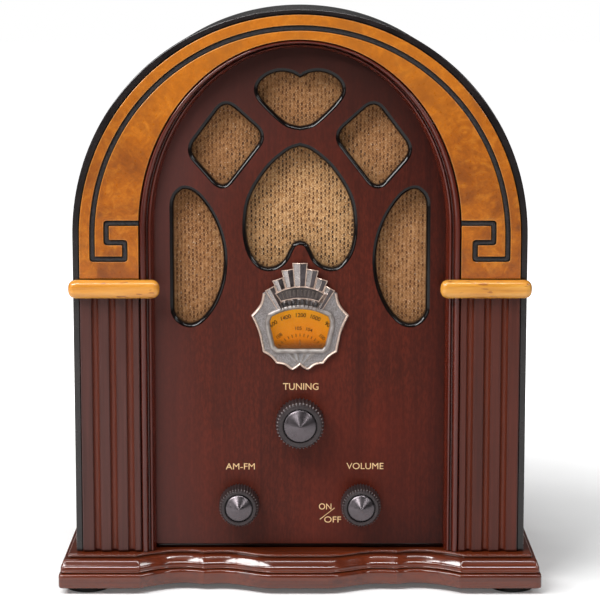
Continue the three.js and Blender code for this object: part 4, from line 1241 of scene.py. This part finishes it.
def plate_edge():
    """The moulded edge of the plate, from its right shoulder round its foot to the left shoulder."""
    flank = spline([(19.4, 157.2), (20.9, 151.2), (25.6, 145.4)], 14)
    side = spline([(25.6, 145.4), (21.9, 137), (19.5, 126)], 14)[1:]
    scallop = spline([(19.5, 126), (15.4, 123.4), (12.4, 119.7)], 10)[1:]
    foot = spline([(12.4, 119.7), (8.2, 119), (4.4, 116.4), (1.9, 117.4), (0, 118.9)], 18)[1:]
    half = flank + side + scallop + foot
    return half + mirrored(half)[1:]


def facet(name, corners, ridge, low_y, high_y, back_y):
    """A bar with two sloping facets. corners are its four corners, and ridge the two ends of its ridge."""
    points = [(x, low_y, z) for x, z in corners] + [(x, high_y, z) for x, z in ridge]
    points += [(x, back_y, z) for x, z in corners]
    faces = [(0, 4, 5, 3), (4, 1, 2, 5), (0, 1, 4), (3, 5, 2), (0, 3, 9, 6), (1, 7, 8, 2), (0, 6, 7, 1),
             (3, 2, 8, 9), (6, 9, 8, 7)]
    return polish(mesh_piece(name, points, faces), 12)


def add_rays():
    bars, edges = [], []
    for step in range(-3, 4):
        middle = step * RAY_STEP
        top, foot, half = (sizes[abs(step)] for sizes in (RAY_TOPS, RAY_FEET, RAY_HALVES))
        corners = [polar(middle - half, top), polar(middle + half, top), polar(middle + half, foot),
                   polar(middle - half, foot)]
        ridge = [polar(middle, top), polar(middle, foot)]
        bars.append(facet(f"ray_{step + 4}", corners, ridge, PLATE_FACE - 0.6, PLATE_FACE - 2.2, SEAT_Y))
        outline = [corners[3], corners[0], ridge[0], corners[1], corners[2]]
        edges.append(ray_edge(f"ray_edge_{step + 4}", outline))
    return bars, edges


def ray_edge(name, outline):
    """A thin raised line round the top and the two sides of a ray, which follows its ridge."""
    low_y, high_y = PLATE_FACE - 0.7, PLATE_FACE - 2.2
    section = ((-0.24, 0.5), (-0.2, -0.15), (0, -0.32), (0.2, -0.15), (0.24, 0.5))
    rings = []
    for (x, z), side, y in zip(outline, normals(outline), (low_y, low_y, high_y, low_y, low_y)):
        rings.append([(x + side.x * across, y + deep, z + side.y * across) for across, deep in section])
    return loft(name, rings, angle=40)


def banner_outline(margin=0.0):
    top = arc(0, 137.4, 24 + margin, 24 + margin, math.radians(57.5), math.radians(122.5), 20)
    bottom = arc(0, 124, 30.4 - margin, 30.4 - margin, math.radians(108.6), math.radians(71.4), 20)
    return top + bottom


def radial_ribs(name, angles, inner, outer, width, back, front):
    ribs = []
    for i, angle in enumerate(angles):
        line = [polar(angle, inner), polar(angle, outer)]
        ribs.append(moulding(f"{name}_{i}", line, half_round(width, back, front)))
    return ribs


def add_fan():
    """Facets that spread from the foot of the plate up to the window frame."""
    tops = [-10.4, -7.6, -4.7, -2.6, -0.8, 0.8, 2.6, 4.7, 7.6, 10.4]
    heights = [0.0, 1.0, 0.1, 0.9, 0.1, 0.1, 0.9, 0.1, 1.0, 0.0]
    points = []
    for x, height in zip(tops, heights):
        points.append((x, PLATE_FACE - 0.1 - height * 0.9, 127.6))
        points.append((x * 0.14, PLATE_FACE - 0.15 - height * 0.35, 119.6))
    count = len(points)
    points += [(x, SEAT_Y, z) for x, y, z in points]
    faces = [(2 * i, 2 * i + 1, 2 * i + 3, 2 * i + 2) for i in range(len(tops) - 1)]
    faces += [tuple(count + k for k in reversed(face)) for face in faces]
    rim = [2 * i for i in range(len(tops))] + [2 * i + 1 for i in reversed(range(len(tops)))]
    faces += [(a, b, count + b, count + a) for a, b in zip(rim, rim[1:] + rim[:1])]
    return polish(mesh_piece("plate_fan", points, faces), 10)


# facets that turn to the right, away from the lights, get painted shade
def faces_shaded_side(normal):
    return normal.x > 0.12


def add_plate():
    """The pebbled plate with its moulded edge, and the frame round the dial opening."""
    edge = plate_edge()
    top = [(-15.2, 160), (-9, 163), (9, 163), (15.2, 160)]
    field = board("escutcheon_field", edge + top, PLATE_FACE, SEAT_Y, [window_outline(0.2)], 0.25, 2)
    finish_piece(field, "pewter_field", "pewter", "escutcheon")
    bead = [(-2.45, 1.1), (-2.0, 1.5), (-1.3, 1.7), (-0.7, 1.5), (-0.25, 1.0), (0, 0.3)]
    section = [(-2.7, SEAT_Y), (-2.7, PLATE_FACE - 0.5),
               *[(across, PLATE_FACE - proud) for across, proud in bead], (0, SEAT_Y)]
    surround = moulding("window_frame", window_outline(0.1), section, closed=True)
    rim = moulding("plate_rim", offset(edge, -0.65), half_round(1.5, SEAT_Y, PLATE_FACE - 0.95))
    return surround, rim


def add_escutcheon():
    surround, rim = add_plate()
    border_section = half_round(0.9, SEAT_Y, PLATE_FACE - 3.3)
    border = moulding("banner_border", banner_outline(-0.5), border_section, closed=True)
    plaque = board("banner_plaque", banner_outline(-0.2), PLATE_FACE - 2.3, SEAT_Y)
    fine = radial_ribs("banner_rib", [math.radians(a) for a in range(-18, 19, 4)], 26.2, 29.3, 0.95,
                       PLATE_FACE - 2.2, PLATE_FACE - 3.0)
    flutes = radial_ribs("flute", [math.radians(a) for a in range(-24, 25, 6)], 19.6, 24.4, 1.5,
                         SEAT_Y, PLATE_FACE - 1.9)
    bars, edges = add_rays()
    rays = joined("escutcheon_rays", [*bars, *flutes])
    finish_piece(rays, "pewter", "pewter")
    # painted shade: facets that turn to the right get a darker copy of the pewter
    paint_faces(rays, "pewter_painted_shade", faces_shaded_side)
    finish_piece(joined("escutcheon_frame", [surround]), "pewter_frame", "pewter")
    finish_piece(joined("escutcheon_banner", [plaque, *fine]), "pewter_dark", "pewter")
    finish_piece(joined("escutcheon_borders", [rim, border, *edges]), "pewter_rim", "pewter")
    fan = add_fan()
    finish_piece(fan, "pewter_fan", "pewter")
    # painted shade: the fan's right facets get the frame paint as a second tone for their shaded side
    paint_faces(fan, "pewter_frame", faces_shaded_side)
    glass = board("dial_window_pane", window_outline(0.1), SEAT_Y - 2.2, SEAT_Y - 1.2)
    finish_piece(glass, "window", "window", "dial_window")


# text and angle in degrees from straight up
DIAL_OUTER = [("550", 115), ("600", 96), ("700", 77), ("800", 58), ("900", 39), ("1000", 20), ("1200", 1.2),
              ("1400", -18), ("1600", -37), ("1700", -56), ("kHz", -82), ("AM", -106)]
DIAL_INNER = [("88", 98), ("92", 80), ("96", 62), ("100", 44), ("104", 16.8), ("105", -2.7), ("108", -40),
              ("MHz", -72), ("FM", -104)]


OUTER_RADIUS, INNER_RADIUS = 24, 17
TICK_STEP, TICK_ENDS = math.radians(9), (12.6, 14.2)


def dial_place(angle, radius):
    return radius * math.sin(angle), DIAL_Z + radius * math.cos(angle)


def dial_scale(band, marks, face, radius, height):
    """A ring of lettering about the dial's axis."""
    letters = []
    for text, degrees in marks:
        x, z = dial_place(math.radians(degrees), radius)
        turn = -math.radians(degrees)
        letters.append(lettering(f"{band}_{text}", text, x, face, z, height, turn=turn, weight=0.02))
    return letters


def add_dial():
    disc = lathe("dial_disc_card", [(2.3, DISC_Y + 0.2), (2.3, DISC_Y + 0.9), (DIAL_RADIUS, DISC_Y + 0.9),
                                    (DIAL_RADIUS, DISC_Y + 0.2)], 0, DIAL_Z, 96)
    finish_piece(disc, "dial_card", "dial_card", "dial_disc", body="dial")
    face = DISC_Y + 0.19
    prints = dial_scale("am", DIAL_OUTER, face, OUTER_RADIUS, 2.2)
    prints += dial_scale("fm", DIAL_INNER, face, INNER_RADIUS, 1.9)
    for i in range(-14, 15):
        line = [dial_place(TICK_STEP * i, radius) for radius in TICK_ENDS]
        prints.append(moulding(f"tick_{i + 14}", line, flat_strip(0.22, face, face - INK_HEIGHT)))
    finish_piece(joined("dial_scale_print", prints), "dial_ink", "dial_card", body="dial")
    section = half_round(0.5, SEAT_Y - 0.6, SEAT_Y - 1.0)
    pointer = moulding("dial_pointer", [(0, 129.2), (0, 132.6)], section)
    finish_piece(pointer, "pewter", "pewter")


# ------------------------------------------------------------ knobs and legends

FLUTE_COUNT = 40
SAMPLES = 6


def fluted_ring(x, z, y, radius, depth):
    ring = []
    for i in range(FLUTE_COUNT * SAMPLES):
        angle = 2 * math.pi * i / (FLUTE_COUNT * SAMPLES)
        dip = 0.5 - 0.5 * math.cos(FLUTE_COUNT * angle)
        reach = radius - depth * dip ** 0.6
        ring.append((x + reach * math.cos(angle), y, z + reach * math.sin(angle)))
    return ring


# distance behind the front, inset and depth of the flutes
KNOB_ROWS = [(2.2, 0.1, 0.9), (1.2, 0.45, 0.85), (0.6, 0.85, 0.7), (0.2, 1.3, 0.35), (0.03, 1.6, 0.1),
             (0, 1.8, 0)]
# distance behind the front, and gap round the cap
SEAT_ROWS = [(0, 0.75), (0.12, 0.5), (0.6, 0.36), (1.6, 0.33)]
TIP_LENGTH = 3.4


def add_knob(name):
    corner, far = (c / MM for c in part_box(f"{name}_knob"))
    x, z, radius = (corner.x + far.x) / 2, (corner.z + far.z) / 2, (far.x - corner.x) / 2
    front = KNOB_BACK - KNOB_LENGTH
    cap = radius * CAP_SHARE
    rows = [(KNOB_BACK, radius - 2.4, 0), (KNOB_BACK, radius - 0.4, 0.7), (KNOB_BACK - 0.4, radius, 0.9)]
    rows += [(front + deep, radius - inset, flutes) for deep, inset, flutes in KNOB_ROWS]
    rows += [(front + deep, cap + gap, 0) for deep, gap in SEAT_ROWS]
    rings = [fluted_ring(x, z, y, r, depth) for y, r, depth in rows]
    knob_plastic(x, z, radius, f"knob_plastic_{name}")
    body = loft(f"{name}_knob_body", rings, angle=38)
    finish_piece(body, f"knob_plastic_{name}", "knob_plastic", f"{name}_knob", body=name)
    spun_metal(x, z, f"spun_metal_{name}")
    cone = lathe(f"{name}_knob_cone", cone_profile(cap, front), x, z, 128, 50)
    finish_piece(cone, f"spun_metal_{name}", "spun_metal", f"{name}_knob_cap", body=name)


def cone_profile(cap, front):
    """The slightly bulging cone of a knob's cap, and its rim."""
    tip = front - TIP_LENGTH
    rise = front + 0.5 - tip
    slope = [(cap * share, tip + rise * (0.92 * share + 0.08 * share ** 2))
             for share in (0.03, 0.07, 0.14, 0.3, 0.5, 0.7, 0.86)]
    rim = [(cap * 0.955, front + 0.22), (cap * 0.99, front + 0.55), (cap, front + 0.9), (cap, front + 1.5)]
    return [(0, tip), *slope, *rim, (0, front + 1.5)]


# name, text, place of the middle in x and z, height and width
LEGENDS = [("tuning", "TUNING", 0.4, 107.3, 3.6, 18.7), ("band", "AM-FM", -31.7, 64.2, 3.3, 15.4),
           ("volume", "VOLUME", 34.5, 64.4, 3.4, 19.6), ("on", "ON", 13.4, 42.4, 3.3, 6.6),
           ("off", "OFF", 17.4, 35.3, 3.3, 9.0)]
SLASH = [(10.6, 35.4), (18.4, 41.6)]


def add_legends():
    words = [lettering(f"legend_{name}", text, x, PANEL_Y, z, height, width)
             for name, text, x, z, height, width in LEGENDS]
    words.append(moulding("legend_slash", SLASH, flat_strip(0.16, PANEL_Y, PANEL_Y - INK_HEIGHT)))
    finish_piece(joined("panel_legends", words), "legend_ink", "mahogany")


# ------------------------------------------------------------ back

# share of the radius, and height
SCREW_DOME = [(0, -0.1), (1, -0.1), (1, 0.25), (0.9, 0.8), (0.6, 1.3), (0.25, 1.55), (0, 1.6)]
SCREW_RADIUS = 3.4
SCREW_PLACES = [(-105, 55), (105, 55), (-105, 170), (105, 170)]


def add_screw(name, x, z, y, node):
    """A domed screw head with a cross, facing the back."""
    dome = [(SCREW_RADIUS * share, y + height) for share, height in SCREW_DOME]
    finish_piece(lathe(name, dome, x, z, 40), "steel", "steel", node)
    arms = []
    for turn in (math.radians(20), math.radians(110)):
        across, up = SCREW_RADIUS / 2 * math.cos(turn), SCREW_RADIUS / 2 * math.sin(turn)
        line = [(x - across, z - up), (x + across, z + up)]
        arms.append(moulding(f"{name}_arm_{len(arms)}", line, flat_strip(0.3, y + 1.0, y + 1.62)))
    # painted shade: the cross is a dark raised strip standing for the shaded slots of the screw
    finish_piece(joined(name + "_cross", arms), "recess_painted_shade", "steel")


VENT_ROWS, VENT_FOOT, VENT_STEP = 6, 197.5, 9
INLET_X, INLET_Z = -60, 46
PIN_SHIFT = 4.3


def add_back():
    front, back = BACK_PANEL_Y
    holes = [rounded_box(x, VENT_FOOT + VENT_STEP * row, 24, 1.5, 1.45)
             for row in range(VENT_ROWS) for x in (-34, 34)]
    holes.append(rounded_box(INLET_X, INLET_Z, 14, 7.5, 1.5))
    outline = arch_line(SHELL_INNER - GAP, ARCH_Z, SHELL_INNER - GAP, FLOOR_Z, 80)
    panel = board("back_panel_board", outline, front, back, holes, 0.35, 2)
    finish_piece(panel, "hardboard", "hardboard", "back_panel")
    for i, (x, z) in enumerate(SCREW_PLACES, 1):
        add_screw(f"back_screw_{i}_head", x, z, back, f"back_screw_{i}")
    add_inlet(back + GAP)


def add_inlet(face):
    """A two pin mains inlet in a flanged housing."""
    x, z = INLET_X, INLET_Z
    socket = (arc(x - PIN_SHIFT, z, 5, 5, math.pi / 2, 3 * math.pi / 2, 14)
              + arc(x + PIN_SHIFT, z, 5, 5, -math.pi / 2, math.pi / 2, 14))
    plate = board("inlet_flange", rounded_box(x, z, 17, 10.5, 3.5, 6), face, face + 2, [socket], 0.5, 3)
    housing = rounded_box(x, z, 13.6, 7.1, 1.2)
    body = board("inlet_housing", housing, face - 14, face + 0.3, [socket], 0.2, 1)
    end = board("inlet_end", housing, face - 17, face - 14.1, edge=0.2, steps=1)
    whole = joined("power_inlet_housing", [plate, body, end])
    finish_piece(whole, "black_plastic", "black_plastic", "power_inlet")
    profile = [(0, face - 14.5), (1.2, face - 14.5), (1.2, face - 3), (0.9, face - 2.2), (0, face - 2)]
    pins = [lathe(f"inlet_pin_{i}", profile, x + side * PIN_SHIFT, z, 24) for i, side in enumerate((-1, 1))]
    finish_piece(joined("inlet_pins", pins), "brass", "black_plastic")


def paint_frame_nodes():
    """Gives each CAD node that still shows the material of its slot."""
    slots = {part["node"]: part["material_slot"] for part in frame["record"]["subparts"]}
    for node, piece in frame["nodes"].items():
        if not piece.hide_render:
            piece.data.materials.clear()
            piece.data.materials.append(paints[slots[node]])


add_camera()
add_studio()
add_floor()
make_wood_paints()
make_metal_paints()
make_plain_paints()
add_base()
add_shell()
add_panel()
add_fascia()
add_bead_moulding()
add_sides()
add_cloth()
add_escutcheon()
add_dial()
for knob in KNOBS:
    add_knob(knob)
add_legends()
add_back()
paint_frame_nodes()
